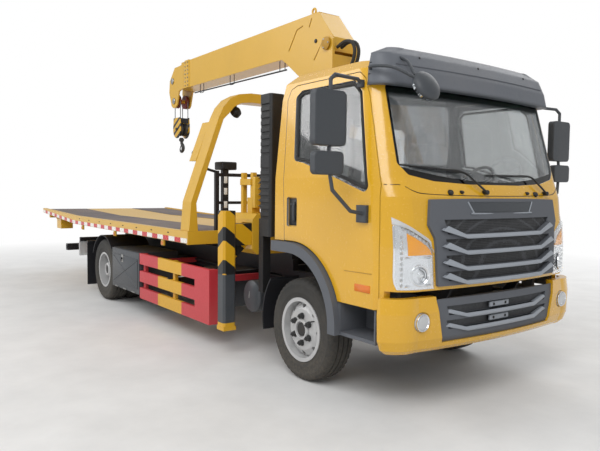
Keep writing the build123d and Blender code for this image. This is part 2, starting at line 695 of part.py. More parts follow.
for hand, side, beam_rear, beam_front, leg_station in outrigger_table:
    half = leg_size / 2
    with BuildPart() as beam:
        block(beam_rear, beam_front, side * 1075, -side * 780, beam_bottom + seat_gap, beam_bottom + 200)
        plan_prism([(leg_station - half, side * 1088), (leg_station - half + 18, side * 1070),
                    (leg_station + half - 18, side * 1070), (leg_station + half, side * 1088),
                    (leg_station + half, side * (1052 + leg_size)),
                    (leg_station + half - 18, side * (1070 + leg_size)),
                    (leg_station - half + 18, side * (1070 + leg_size)),
                    (leg_station - half, side * (1052 + leg_size))], 300, 1362)
        block(leg_station - half + 12, leg_station + half - 12, side * 1082, side * (1058 + leg_size), 200, 1340,
              mode=Mode.SUBTRACT)
        front_prism([(side * 1075, 900), (side * 1075, 1045), (side * 910, 1045)], leg_station - 12, leg_station + 12)
    beam.part.label = "outrigger_beam_" + hand
    export_step(beam.part, "parts/outrigger_beam_" + hand + ".step")
    with BuildPart() as leg:
        block(leg_station - half + 18, leg_station + half - 18, side * 1088, side * (1052 + leg_size), 290, 1300)
        block(leg_station - half, leg_station + half, side * 1070, side * (1070 + leg_size), 262, 300 - seat_gap)
    leg.part.label = "outrigger_leg_" + hand
    export_step(leg.part, "parts/outrigger_leg_" + hand + ".step")

# Turret and boom
with BuildPart() as turret:
    rod((slew_station, 0, 1400 + seat_gap), (slew_station, 0, 1440), 240)
    side_prism([(-1240, 1435), (-890, 1435), (-635, 2150), (-635, 2560), (-900, 2560), (-960, 2150)],
               -cheek_out, cheek_out)
    for side in (-1, 1):
        side_prism([(-635, 2540), (-635, 3011), (-680, 3040), (-760, 3036), (-791, 3010), (-942, 2801),
                    (-930, 2540)], side * cheek_in, side * cheek_out)
        side_prism([(cylinder_foot[0] - 55, 1585), (cylinder_foot[0] + 55, 1585), (-1100, 1700), (-1130, 1860),
                    (cylinder_foot[0] + 40, 1700), (cylinder_foot[0] - 55, 1690)], side * 71, side * 96)
    block(-660, -635, -cheek_in - 5, cheek_in + 5, 2540, 2862)
    rod((boom_pivot_station, -cheek_out - 12, boom_pivot_z), (boom_pivot_station, cheek_out + 12, boom_pivot_z),
        boom_pin_radius)
    rod((cylinder_foot[0], -104, cylinder_foot[1]), (cylinder_foot[0], 104, cylinder_foot[1]), 30)
turret.part.label = "turret"
export_step(turret.part, "parts/turret.step")

boom_wall = 12
with BuildPart() as boom_base:
    block(boom_mouth, -900, -boom_half_width, boom_half_width, boom_bottom, boom_top)
    side_prism([(-661, 2898), (-661, 3033), (-904, boom_top), (-1060, boom_top), (-1060, boom_bottom),
                (-800, 2898)], -boom_half_width, boom_half_width)
    block(boom_mouth - 10, -960, -boom_half_width + boom_wall, boom_half_width - boom_wall,
          boom_bottom + boom_wall, boom_top - boom_wall, mode=Mode.SUBTRACT)
    block(boom_mouth, boom_mouth + 130, -boom_half_width - 8, -boom_half_width + 4, boom_bottom, boom_top + 8)
    block(boom_mouth, boom_mouth + 130, boom_half_width - 4, boom_half_width + 8, boom_bottom, boom_top + 8)
    block(boom_mouth, boom_mouth + 130, -boom_half_width, boom_half_width, boom_top - 4, boom_top + 8)
    for side in (-1, 1):
        side_prism([(-1560, boom_bottom + 5), (-1470, 2905), (-1251, 2748), (-1120, 2680), (-940, 2680),
                    (-890, 2800), (-880, boom_bottom + 5)], side * 95, side * boom_half_width)
    rod((boom_pivot_station, -200, boom_pivot_z), (boom_pivot_station, 200, boom_pivot_z),
        boom_pin_radius + pin_clearance, mode=Mode.SUBTRACT)
    rod((-1150, 0, boom_top - 5), (-1150, 0, boom_top + 60), 14)
    with Locations(Plane(origin=(front_axle_x - 1150, 0, boom_top + 80), z_dir=(0, 1, 0))):
        Torus(28, 11)
boom_base.part.label = "boom_base"
export_step(boom_base.part, "parts/boom_base.step")

# name, half width, bottom, top, wall, tip station, root station
section_table = [
    ("boom_second", 112, 2967 + seat_gap, 3288, 10, -4008, -1000),
    ("boom_third", 96, 2977 + 2 * seat_gap, 3262, 9, -4066, -1050),
    ("boom_fourth", 81, 2986 + 3 * seat_gap, 3236, 9, -4128, -1100),
]
previous_tip = boom_mouth
for name, half_width, bottom, top, wall, tip, root in section_table:
    with BuildPart() as section:
        block(tip, root, -half_width, half_width, bottom, top)
        if name == "boom_fourth":
            block(tip, previous_tip - 5, -115, 115, boom_bottom, boom_top - 20)
            for side in (-1, 1):
                side_prism([(tip + 20, boom_top - 25), (-4330, 3290), (-4500, 3120), (-4520, 2960), (-4440, 2760),
                            (-4390, 2725), (-4300, 2725), (-4255, 2760), (-4190, 2940), (tip + 20, 2960)],
                           side * 93, side * 113)
            for y in (-58, 58):
                rod((sheave_station, y - 14, sheave_z), (sheave_station, y + 14, sheave_z), sheave_radius)
            rod((sheave_station, -125, sheave_z), (sheave_station, 125, sheave_z), 26)
            rod((-4400, -118, 3110), (-4400, 118, 3110), 26)
            rod((-4400, -30, 3110), (-4400, 30, 3110), 95)
        else:
            block(tip, previous_tip - 5, -boom_half_width, boom_half_width, boom_bottom, boom_top)
        if name != "boom_fourth":
            block(tip - 10, root + 10, -half_width + wall, half_width - wall, bottom + wall, top - wall,
                  mode=Mode.SUBTRACT)
    section.part.label = name
    export_step(section.part, "parts/" + name + ".step")
    previous_tip = tip

block_top = 2470
with BuildPart() as hook_block:
    for station in (sheave_station - sheave_radius - rope_radius - seat_gap,
                    sheave_station + sheave_radius + rope_radius + seat_gap):
        for y in (-58, 58):
            rod((station, y, block_top - 40), (station, y, sheave_z), rope_radius)
    side_prism([(sheave_station - 110, block_top), (sheave_station + 110, block_top), (sheave_station + 125, 2380),
                (sheave_station + 60, 2290), (sheave_station - 60, 2290), (sheave_station - 125, 2380)], -76, 76)
    rod((sheave_station, 0, 2300), (sheave_station, 0, 2250), 26)
    side_prism([(sheave_station - 14, 2260), (sheave_station + 18, 2260), (sheave_station + 22, 2215),
                (sheave_station + 62, 2170), (sheave_station + 62, 2120), (sheave_station + 20, 2082),
                (sheave_station - 40, 2092), (sheave_station - 66, 2140), (sheave_station - 40, 2150),
                (sheave_station - 20, 2122), (sheave_station + 12, 2122), (sheave_station + 26, 2146),
                (sheave_station + 22, 2166), (sheave_station - 16, 2206)], -16, 16)
hook_block.part.label = "hook_block"
export_step(hook_block.part, "parts/hook_block.step")

# Luff cylinder
foot = Vector(front_axle_x + cylinder_foot[0], 0, cylinder_foot[1])
eye = Vector(front_axle_x + cylinder_eye[0], 0, cylinder_eye[1])
thrust = (eye - foot).normalized()
barrel_length = 960
barrel_end = foot + thrust * barrel_length
rod_root = foot + thrust * 200
with BuildPart() as luff_barrel:
    with BuildSketch(Plane(origin=foot + thrust * 40, z_dir=thrust)) as disc:
        Circle(65)
    extrude(disc.sketch, amount=barrel_length - 40)
    rod((cylinder_foot[0], -58, cylinder_foot[1]), (cylinder_foot[0], 58, cylinder_foot[1]), 60)
    rod((cylinder_foot[0], -60, cylinder_foot[1]), (cylinder_foot[0], 60, cylinder_foot[1]), 30 + pin_clearance,
        mode=Mode.SUBTRACT)
    with BuildSketch(Plane(origin=foot + thrust * 180, z_dir=thrust)) as bore:
        Circle(38 + seat_gap)
    extrude(bore.sketch, amount=barrel_length, mode=Mode.SUBTRACT)
luff_barrel.part.label = "luff_barrel"
export_step(luff_barrel.part, "parts/luff_barrel.step")
with BuildPart() as luff_rod:
    with BuildSketch(Plane(origin=rod_root, z_dir=thrust)) as disc:
        Circle(38)
    extrude(disc.sketch, amount=(eye - rod_root).length - 20)
    rod((cylinder_eye[0], -60, cylinder_eye[1]), (cylinder_eye[0], 60, cylinder_eye[1]), 52)
luff_rod.part.label = "luff_rod"
export_step(luff_rod.part, "parts/luff_rod.step")

# Bed
with BuildPart() as tilt_frame:
    for side in (-1, 1):
        block(-5350, -1760, side * tilt_rail_in, side * tilt_rail_out, subframe_top + seat_gap,
              tilt_rail_top)
        block(tilt_pivot_station - 60, tilt_pivot_station + 60, side * 330, side * tilt_rail_out, 785,
              subframe_top + 10)
    for station in (-1800, -2700, -3600, -4500, -5200):
        block(station - 35, station + 35, -tilt_rail_in - 5, tilt_rail_in + 5, subframe_top + 20,
              tilt_rail_top - 10)
    rod((tilt_pivot_station, -380, tilt_pivot_z), (tilt_pivot_station, 380, tilt_pivot_z),
        tilt_pin_radius + pin_clearance, mode=Mode.SUBTRACT)
tilt_frame.part.label = "tilt_frame"
export_step(tilt_frame.part, "parts/tilt_frame.step")


def deck_rise(station):
    """How much higher the deck stands at a station of the bent-up tail."""
    return max(0, (bed_kink - station) / (bed_kink - bed_tail)) * tail_rise


with BuildPart() as bed:
    side_prism([(bed_front, deck_top), (bed_kink, deck_top), (bed_tail, deck_top + tail_rise),
                (bed_tail, deck_top + tail_rise - deck_plate), (bed_kink, deck_top - deck_plate),
                (bed_front, deck_top - deck_plate)], -bed_half_width + 5, bed_half_width - 5)
    for side in (-1, 1):
        side_prism([(bed_front, 1127), (bed_kink, 1127), (bed_tail, 1127 + tail_rise), (bed_tail, 1105),
                    (bed_kink, 1000), (bed_front, 1000)], side * (bed_half_width - bed_rail_width),
                   side * bed_half_width)
        block(-6900, bed_front - 5, side * tilt_rail_in, side * tilt_rail_out, tilt_rail_top + seat_gap,
              deck_top - 5)
        block(-6850, -6600, side * 930, side * 1120, 870, 1118)
    block(bed_front - 30, bed_front, -bed_half_width, bed_half_width, 990, 1127)
    for index in range(13):
        station = -1900 - index * 440
        block(station - 30, station + 30, -bed_half_width + 20, bed_half_width - 20, 1030,
              deck_top - 5 + deck_rise(station))
    for side in (-1, 1):
        block(bed_kink + 5, -1910, side * strip_in, side * strip_out, deck_top - 5, deck_top + strip_height)
bed.part.label = "bed"
export_step(bed.part, "parts/bed.step")

gantry_rear = -1870
gantry_right = [(1060, 1127 + seat_gap), (1160, 1127 + seat_gap), (1135, 1424), (824, 2299), (770, 2410),
                (690, 2500), (580, 2558), (440, 2580), (0, 2584)]
gantry_inner = [(0, 2484), (440, 2482), (560, 2466), (640, 2420), (706, 2345), (768, 2284), (1078, 1412)]
gantry_outline = (gantry_right + [(-y, z) for y, z in reversed(gantry_right[:-1])]
                  + [(-y, z) for y, z in reversed(gantry_inner)] + gantry_inner[1:])
with BuildPart() as gantry:
    front_prism(gantry_outline, gantry_rear, bed_front)
    for side in (-1, 1):
        front_prism([(side * 835, 2265), (side * 990, 1850), (side * 900, 1850), (side * 745, 2265)],
                    gantry_rear - 150, gantry_rear + 5)
gantry.part.label = "gantry"
export_step(gantry.part, "parts/gantry.step")

with BuildPart() as headboard:
    for side in (-1, 1):
        block(-1742, -1702, side * 800, side * 840, deck_top + seat_gap, 1750)
        block(-1747, -1702, side * 690, side * 760, deck_top + seat_gap, 1760)
    block(-1740, -1704, -835, 835, 1690, 1725)
    block(-1740, -1704, -835, 835, 1400, 1430)
    block(-1740, -1704, -835, 835, 1150, 1180)
headboard.part.label = "headboard"
export_step(headboard.part, "parts/headboard.step")

# Rear underlift
with BuildPart() as lift_arm:
    block(-6450, -5780, -88, 88, 465, 605)
    rod((lift_pivot_station, -100, lift_pivot_z), (lift_pivot_station, 100, lift_pivot_z),
        lift_pin_radius + pin_clearance, mode=Mode.SUBTRACT)
    block(-6460, -5950, -72, 72, 478, 592, mode=Mode.SUBTRACT)
lift_arm.part.label = "lift_arm"
export_step(lift_arm.part, "parts/lift_arm.step")
with BuildPart() as lift_bar:
    block(-6870, -5960, -66, 66, 478 + seat_gap, 586)
    block(-6960, -6860, -950, 950, 478, 588)
    for side in (-1, 1):
        rod((-6910, side * 750, 533), (-6910, side * 960, 533), bar_socket_radius, mode=Mode.SUBTRACT)
lift_bar.part.label = "lift_bar"
export_step(lift_bar.part, "parts/lift_bar.step")
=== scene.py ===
"""Looks of a yellow recovery truck with a slide bed, a telescopic crane and a rear underlift."""

import math

import bmesh
import bpy
from bpy.props import FloatProperty, FloatVectorProperty, IntProperty, PointerProperty
from bpy.types import NodeSocket, Operator, Panel, PropertyGroup
from mathutils import Matrix, Vector
from mathutils.bvhtree import BVHTree


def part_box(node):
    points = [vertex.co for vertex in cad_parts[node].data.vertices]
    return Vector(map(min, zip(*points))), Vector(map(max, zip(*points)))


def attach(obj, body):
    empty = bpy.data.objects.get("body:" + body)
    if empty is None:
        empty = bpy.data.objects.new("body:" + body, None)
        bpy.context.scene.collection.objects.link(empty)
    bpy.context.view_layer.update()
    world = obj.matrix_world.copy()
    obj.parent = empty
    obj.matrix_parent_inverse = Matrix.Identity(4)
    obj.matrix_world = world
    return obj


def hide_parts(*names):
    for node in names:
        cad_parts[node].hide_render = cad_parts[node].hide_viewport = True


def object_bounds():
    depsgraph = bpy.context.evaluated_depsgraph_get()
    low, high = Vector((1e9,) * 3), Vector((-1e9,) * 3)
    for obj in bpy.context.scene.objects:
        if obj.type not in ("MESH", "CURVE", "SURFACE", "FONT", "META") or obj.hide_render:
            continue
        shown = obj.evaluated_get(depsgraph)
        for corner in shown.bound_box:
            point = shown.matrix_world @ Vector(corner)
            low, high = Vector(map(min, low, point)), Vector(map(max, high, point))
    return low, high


bl_info = {
    "name": "Recovery Truck Looks",
    "version": (1, 0, 0),
    "blender": (4, 5, 0),
    "location": "View3D > Sidebar > Truck",
    "description": "Finishes and fittings of a slide-bed recovery truck with a loader crane",
    "category": "Object",
}

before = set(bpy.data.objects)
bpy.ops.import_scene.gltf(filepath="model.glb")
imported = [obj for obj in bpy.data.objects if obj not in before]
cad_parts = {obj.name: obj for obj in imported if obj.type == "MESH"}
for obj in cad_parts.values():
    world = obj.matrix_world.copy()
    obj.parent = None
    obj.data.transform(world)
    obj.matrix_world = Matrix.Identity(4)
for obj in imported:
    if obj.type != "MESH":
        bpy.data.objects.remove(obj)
cad_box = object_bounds()
hub_low, hub_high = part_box("rim_front_right")
FRONT_AXLE_X = (hub_low.x + hub_high.x) / 2
AXLE_Z = (hub_low.z + hub_high.z) / 2
SIDES = (("right", -1), ("left", 1))
FORWARD, LEFTWARD, UPWARD = Vector((1, 0, 0)), Vector((0, 1, 0)), Vector((0, 0, 1))


def srgb(red, green, blue):
    """Screen values from 0 to 255 as linear light."""
    shares = [value / 255 for value in (red, green, blue)]
    return tuple(s / 12.92 if s <= 0.04045 else ((s + 0.055) / 1.055) ** 2.4 for s in shares)


def colour_property(label, note, value):
    return FloatVectorProperty(name=label, description=note, subtype="COLOR", size=3, min=0, max=1,
                               default=value)


def length_property(label, note, value):
    return FloatProperty(name=label, description=note, subtype="DISTANCE", unit="LENGTH", default=value)


class TruckColours(PropertyGroup):
    """Colours of the truck's finishes."""

    yellow: colour_property("Yellow", "Paint of the cab, crane and bed", srgb(218, 166, 30))
    crane_yellow: colour_property("Crane Yellow", "Paint of the boom and turret", srgb(212, 166, 46))
    plastic: colour_property("Grey Plastic", "Grille, visor and wheel arch flares", srgb(96, 100, 107))
    mirror: colour_property("Mirror Plastic", "Mirror heads and intake duct", srgb(62, 66, 71))
    black: colour_property("Black Steel", "Frame, guards and brackets", srgb(30, 31, 33))
    dark_grey: colour_property("Dark Grey", "Outrigger legs and tool boxes", srgb(62, 67, 73))
    red: colour_property("Guard Red", "End sections of the side guards", srgb(196, 52, 62))
    silver: colour_property("Wheel Silver", "Painted steel wheels", srgb(186, 188, 190))
    rubber: colour_property("Rubber", "Tyres, flaps and seals", srgb(44, 44, 43))
    grit: colour_property("Deck Grit", "Anti-slip strips of the bed", srgb(122, 110, 104))
    fabric: colour_property("Seat Fabric", "Seats in the cab", srgb(120, 122, 126))
    amber: colour_property("Amber", "Indicator lenses", srgb(244, 128, 10))


class TruckSizes(PropertyGroup):
    """Sizes of the fittings."""

    tape_length: length_property("Tape Length", "Length of one block of the rail's tape", 0.15)
    tape_height: length_property("Tape Height", "Height of the rail's tape", 0.05)
    nut_radius: length_property("Nut Radius", "Radius of a wheel nut", 0.022)
    hose_radius: length_property("Hose Radius", "Radius of a hydraulic hose", 0.016)
    edge_radius: length_property("Edge Radius", "Rounding seen on painted edges", 0.006)
    tread_blocks: IntProperty(name="Tread Blocks", description="Blocks round one tyre", default=48, min=12)
    lens: FloatProperty(name="Lens", description="Focal length on a 36 mm sensor", default=36.457, min=5)


def colours():
    return bpy.context.scene.truck_colours


def sizes():
    return bpy.context.scene.truck_sizes


def place(station, y, z):
    """A point given by its distance ahead of the front axle."""
    return Vector((FRONT_AXLE_X + station, y, z))


# Touching the CAD surfaces
surface_trees = {}


def surface_tree(node):
    if node not in surface_trees:
        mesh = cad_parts[node].data
        points = [v.co.copy() for v in mesh.vertices]
        surface_trees[node] = BVHTree.FromPolygons(points, [tuple(p.vertices) for p in mesh.polygons])
    return surface_trees[node]


def touch(nodes, start, direction):
    """The first point of these CAD nodes that a straight line meets."""
    found = []
    for node in nodes:
        point, normal, index, distance = surface_tree(node).ray_cast(start, direction)
        if point is not None:
            found.append((distance, point))
    if not found:
        raise RuntimeError(f"nothing of {nodes} lies on the line from {tuple(start)}")
    return min(found, key=lambda item: item[0])[1]


def on_front(nodes, y, z, lift=0.0):
    return touch(nodes, Vector((cad_box[1].x + 1, y, z)), -FORWARD) + FORWARD * lift


def on_side(nodes, station, z, side, lift=0.0):
    start = place(station, side * (cad_box[1].y + 1), z)
    return touch(nodes, start, -LEFTWARD * side) + LEFTWARD * side * lift


def on_top(nodes, station, y, lift=0.0):
    return touch(nodes, place(station, y, cad_box[1].z + 1), -UPWARD) + UPWARD * lift


# Building meshes
def smooth_path(points, steps=6):
    """Points along an even curve through the given ones."""
    points = [Vector(p) for p in points]
    ends = [points[0] * 2 - points[1]] + points + [points[-1] * 2 - points[-2]]
    path = []
    for a, b, c, d in zip(ends, ends[1:], ends[2:], ends[3:]):
        for step in range(steps):
            t = step / steps
            path.append(0.5 * (2 * b + (c - a) * t + (2 * a - 5 * b + 4 * c - d) * t * t
                               + (3 * b - a - 3 * c + d) * t ** 3))
    return path + [points[-1]]


def join_rings(part, rings, capped=False):
    """Faces between neighbouring rings, and over both ends where it is capped."""
    for first, second in zip(rings, rings[1:]):
        for a, b, c, d in zip(first, first[1:] + first[:1], second[1:] + second[:1], second):
            part.faces.new([a, b, c, d])
    if capped:
        part.faces.new(rings[0])
        part.faces.new(rings[-1])


class Shape:
    """Gathers the faces of one piece, each with the number of its finish."""

    def __init__(self):
        self.mesh = bmesh.new()

    def take(self, part, finish):
        """Moves a finished form into the piece."""
        made = {vert: self.mesh.verts.new(vert.co) for vert in part.verts}
        for face in part.faces:
            self.mesh.faces.new([made[vert] for vert in face.verts]).material_index = finish
        part.free()

    def box(self, low, high, finish=0, rounding=0.0, turn=None):
        """A block between two corners, turned about its middle."""
        low, high = Vector(low), Vector(high)
        part = bmesh.new()
        bmesh.ops.create_cube(part, size=1)
        size = Vector(abs(b - a) for a, b in zip(low, high))
        bmesh.ops.scale(part, vec=size, verts=part.verts)
        if rounding:
            bmesh.ops.bevel(part, geom=part.edges[:], offset=min(rounding, min(size) * 0.45), segments=3,
                            profile=0.5, affect="EDGES")
        move = Matrix.Translation((low + high) / 2)
        bmesh.ops.transform(part, matrix=move @ turn.to_4x4() if turn else move, verts=part.verts)
        self.take(part, finish)

    def block(self, middle, half, finish=0, rounding=0.0):
        """A block given by its middle and half its size."""
        self.box(middle - Vector(half), middle + Vector(half), finish, rounding)

    def bar(self, start, end, radius, finish=0, sides=18):
        """A round bar between two points."""
        start, end = Vector(start), Vector(end)
        part = bmesh.new()
        bmesh.ops.create_cone(part, cap_ends=True, segments=sides, radius1=radius, radius2=radius,
                              depth=(end - start).length)
        turn = (end - start).to_track_quat("Z", "Y").to_matrix().to_4x4()
        bmesh.ops.transform(part, matrix=Matrix.Translation((start + end) / 2) @ turn, verts=part.verts)
        self.take(part, finish)

    def lathe(self, centre, axis, profile, finish=0, sides=40, loop=False):
        """A profile of (along, radius) points turned about an axis."""
        part = bmesh.new()
        turn = Vector(axis).to_track_quat("Z", "Y").to_matrix()
        rings = []
        for along, radius in profile:
            if radius < 1e-6:
                rings.append([part.verts.new(Vector(centre) + turn @ Vector((0, 0, along)))])
                continue
            ring = []
            for index in range(sides):
                angle = 2 * math.pi * index / sides
                spoke = Vector((radius * math.cos(angle), radius * math.sin(angle), along))
                ring.append(part.verts.new(Vector(centre) + turn @ spoke))
            rings.append(ring)
        pairs = list(zip(rings, rings[1:]))
        if loop:
            pairs.append((rings[-1], rings[0]))
        for first, second in pairs:
            for index in range(sides):
                after = (index + 1) % sides
                corners = [first[index % len(first)], first[after % len(first)],
                           second[after % len(second)], second[index % len(second)]]
                part.faces.new(list(dict.fromkeys(corners)))
        if not loop:
            for ring in (rings[0], rings[-1]):
                if len(ring) > 1:
                    part.faces.new(ring)
        self.take(part, finish)

    def tube(self, points, radius, finish=0, sides=12, steps=6, smooth=True):
        """A round tube along a path; radius may be a function of the share along it."""
        path = smooth_path(points, steps) if smooth else [Vector(p) for p in points]
        part = bmesh.new()
        heading = (path[1] - path[0]).normalized()
        across = heading.orthogonal().normalized()
        rings = []
        for index, point in enumerate(path):
            ahead = path[min(index + 1, len(path) - 1)] - path[max(index - 1, 0)]
            across = (across - ahead * across.dot(ahead) / ahead.length_squared).normalized()
            over = ahead.cross(across).normalized()
            width = radius(index / (len(path) - 1)) if callable(radius) else radius
            ring = []
            for side in range(sides):
                angle = 2 * math.pi * side / sides
                spoke = across * math.cos(angle) + over * math.sin(angle)
                ring.append(part.verts.new(point + spoke * width))
            rings.append(ring)
        join_rings(part, rings, True)
        self.take(part, finish)

    def plate(self, outline, depth, finish=0, rounding=0.0):
        """A flat plate from its corner points, thickened by a depth vector."""
        part = bmesh.new()
        face = part.faces.new([part.verts.new(Vector(p)) for p in outline])
        made = bmesh.ops.extrude_face_region(part, geom=[face])
        moved = [item for item in made["geom"] if isinstance(item, bmesh.types.BMVert)]
        bmesh.ops.translate(part, vec=Vector(depth), verts=moved)
        if rounding:
            bmesh.ops.bevel(part, geom=part.edges[:], offset=rounding, segments=2, profile=0.5,
                            affect="EDGES")
        self.take(part, finish)

    def patch(self, rows, depth, finish=0):
        """A skin through rows of points, thickened by a depth vector."""
        part = bmesh.new()
        depth = Vector(depth)
        near = [[part.verts.new(Vector(p)) for p in row] for row in rows]
        far = [[part.verts.new(Vector(p) + depth) for p in row] for row in rows]
        for grid in (near, far):
            for low, high in zip(grid, grid[1:]):
                for a, b, c, d in zip(low, low[1:], high[1:], high):
                    part.faces.new([a, b, c, d])
        wide, tall = len(near[0]), len(near)
        edge = [(0, i) for i in range(wide)] + [(j, -1) for j in range(1, tall)]
        edge += [(-1, i) for i in range(wide - 2, -1, -1)] + [(j, 0) for j in range(tall - 2, 0, -1)]
        for (r, c), (s, d) in zip(edge, edge[1:] + edge[:1]):
            part.faces.new([near[r][c], near[s][d], far[s][d], far[r][c]])
        self.take(part, finish)

    def ball(self, centre, radius, finish=0, stretch=(1, 1, 1), turn=None):
        part = bmesh.new()
        bmesh.ops.create_uvsphere(part, u_segments=20, v_segments=12, radius=radius)
        bmesh.ops.scale(part, vec=Vector(stretch), verts=part.verts)
        move = Matrix.Translation(Vector(centre))
        bmesh.ops.transform(part, matrix=move @ turn.to_4x4() if turn else move, verts=part.verts)
        self.take(part, finish)


def add_piece(name, body, shape, finishes, crease=35, replaces=()):
    """Turns a gathered shape into a piece that rides on a body."""
    bmesh.ops.recalc_face_normals(shape.mesh, faces=shape.mesh.faces[:])
    data = bpy.data.meshes.new(name)
    shape.mesh.to_mesh(data)
    shape.mesh.free()
    for finish in finishes:
        data.materials.append(get_finish(finish))
    data.polygons.foreach_set("use_smooth", [True] * len(data.polygons))
    data.set_sharp_from_angle(angle=math.radians(crease))
    piece = bpy.data.objects.new(name, data)
    bpy.context.scene.collection.objects.link(piece)
    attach(piece, body)
    if replaces:
        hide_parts(*replaces)
    return piece


def finish_node(node, finish):
    """Gives a CAD node its finish."""
    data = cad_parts[node].data
    data.materials.clear()
    data.materials.append(get_finish(finish))


# Finishes
class Wiring:
    """Adds nodes to one node tree and joins them."""

    def __init__(self, tree):
        self.tree = tree

    def add(self, kind, inputs=None, **settings):
        node = self.tree.nodes.new(kind)
        for key, value in settings.items():
            setattr(node, key, value)
        for key, value in (inputs or {}).items():
            if isinstance(value, NodeSocket):
                self.tree.links.new(value, node.inputs[key])
            else:
                node.inputs[key].default_value = value
        return node

    def math(self, operation, first, second=0.0):
        return self.add("ShaderNodeMath", {0: first, 1: second}, operation=operation).outputs[0]

    def remap(self, value, low, high, to_low=0.0, to_high=1.0):
        inputs = {"Value": value, "From Min": low, "From Max": high, "To Min": to_low, "To Max": to_high}
        return self.add("ShaderNodeMapRange", inputs).outputs[0]

    def mix(self, factor, first, second, blend="MIX"):
        inputs = {0: factor, 6: first, 7: second}
        return self.add("ShaderNodeMix", inputs, data_type="RGBA", blend_type=blend).outputs[2]

    def here(self):
        """The point of the surface, in the piece's own axes."""
        return self.add("ShaderNodeTexCoord").outputs["Object"]

    def noise(self, scale, detail=4.0):
        inputs = {"Scale": scale, "Detail": detail, "Roughness": 0.6}
        inputs["Vector"] = self.here()
        return self.add("ShaderNodeTexNoise", inputs).outputs[0]

    def along(self, axis):
        """One coordinate of the surface's point: 0, 1 and 2 are forward, leftward and up."""
        return self.add("ShaderNodeSeparateXYZ", {0: self.here()}).outputs[axis]

    def band(self, along, pitch, share):
        """A mask of even bands."""
        inputs = {"Along": along, "Pitch": pitch, "Share": share}
        return self.add("ShaderNodeGroup", inputs, node_tree=warning_bands()).outputs["Mask"]


def node_group(name, inputs, outputs, build):
    """A shader node group with named sockets, built once."""
    if name in bpy.data.node_groups:
        return bpy.data.node_groups[name]
    group = bpy.data.node_groups.new(name, "ShaderNodeTree")
    for label, kind in inputs:
        group.interface.new_socket(name=label, in_out="INPUT", socket_type="NodeSocket" + kind)
    for label, kind in outputs:
        group.interface.new_socket(name=label, in_out="OUTPUT", socket_type="NodeSocket" + kind)
    wiring = Wiring(group)
    entry = wiring.add("NodeGroupInput").outputs
    for label, socket in build(wiring, entry).items():
        leave = group.nodes.get("Group Output") or wiring.add("NodeGroupOutput")
        group.links.new(socket, leave.inputs[label])
    return group


def weathering():
    """Uneven tone, road dust near the ground and blotchy gloss."""
    def build(wiring, entry):
        patches = wiring.noise(entry["Patches"], 5.0)
        fine = wiring.noise(46.0, 6.0)
        low = wiring.remap(wiring.along(2), 0.0, entry["Dust Height"], 1.0, 0.0)
        dust = wiring.math("MULTIPLY", wiring.math("POWER", low, 1.6), wiring.remap(fine, 0.3, 0.7))
        grime = wiring.math("MULTIPLY", wiring.remap(patches, 0.52, 0.8), 0.45)
        mask = wiring.math("MULTIPLY", wiring.math("ADD", dust, grime), entry["Dirt Amount"])
        mask = wiring.math("MINIMUM", mask, 1.0)
        tone = wiring.remap(patches, 0.25, 0.75, 0.93, 1.06)
        shade = wiring.add("ShaderNodeCombineColor", {0: tone, 1: tone, 2: tone}).outputs[0]
        toned = wiring.mix(1.0, entry["Paint"], shade, "MULTIPLY")
        rough = wiring.remap(fine, 0.3, 0.7, entry["Smooth"], entry["Rough"])
        return {
            "Color": wiring.mix(mask, toned, entry["Dirt"]),
            "Roughness": wiring.math("ADD", rough, wiring.math("MULTIPLY", mask, 0.3)),
            "Height": fine,
        }

    inputs = [("Paint", "Color"), ("Dirt", "Color"), ("Dirt Amount", "Float"), ("Patches", "Float"),
              ("Dust Height", "Float"), ("Smooth", "Float"), ("Rough", "Float")]
    outputs = [("Color", "Color"), ("Roughness", "Float"), ("Height", "Float")]
    return node_group("Weathering", inputs, outputs, build)


def moulded_grain():
    """Leather-like grain of moulded plastic and rubber."""
    def build(wiring, entry):
        inputs = {"Vector": wiring.here(), "Scale": entry["Grain"]}
        cells = wiring.add("ShaderNodeTexVoronoi", inputs, feature="SMOOTH_F1").outputs["Distance"]
        return {"Height": cells}

    return node_group("Moulded Grain", [("Grain", "Float")], [("Height", "Float")], build)


def warning_bands():
    """Even bands along a coordinate."""
    def build(wiring, entry):
        turns = wiring.math("DIVIDE", entry["Along"], entry["Pitch"])
        share = wiring.math("FRACT", wiring.math("ADD", turns, 100.0))
        return {"Mask": wiring.math("LESS_THAN", share, entry["Share"])}

    inputs = [("Along", "Float"), ("Pitch", "Float"), ("Share", "Float")]
    return node_group("Warning Bands", inputs, [("Mask", "Float")], build)


ROAD_DUST = srgb(128, 118, 104)
CAB_TRIM = srgb(124, 127, 131)
GLASS_HAZE = srgb(150, 146, 138)
# station, distance from the truck's middle and height
CAB_MIDDLE = (0.35, 0.0, 1.75)
RELIEF_DEPTH = 0.002


def new_material(name):
    material = bpy.data.materials.new(name)
    material.use_nodes = True
    return material, Wiring(material.node_tree), material.node_tree.nodes["Principled BSDF"]


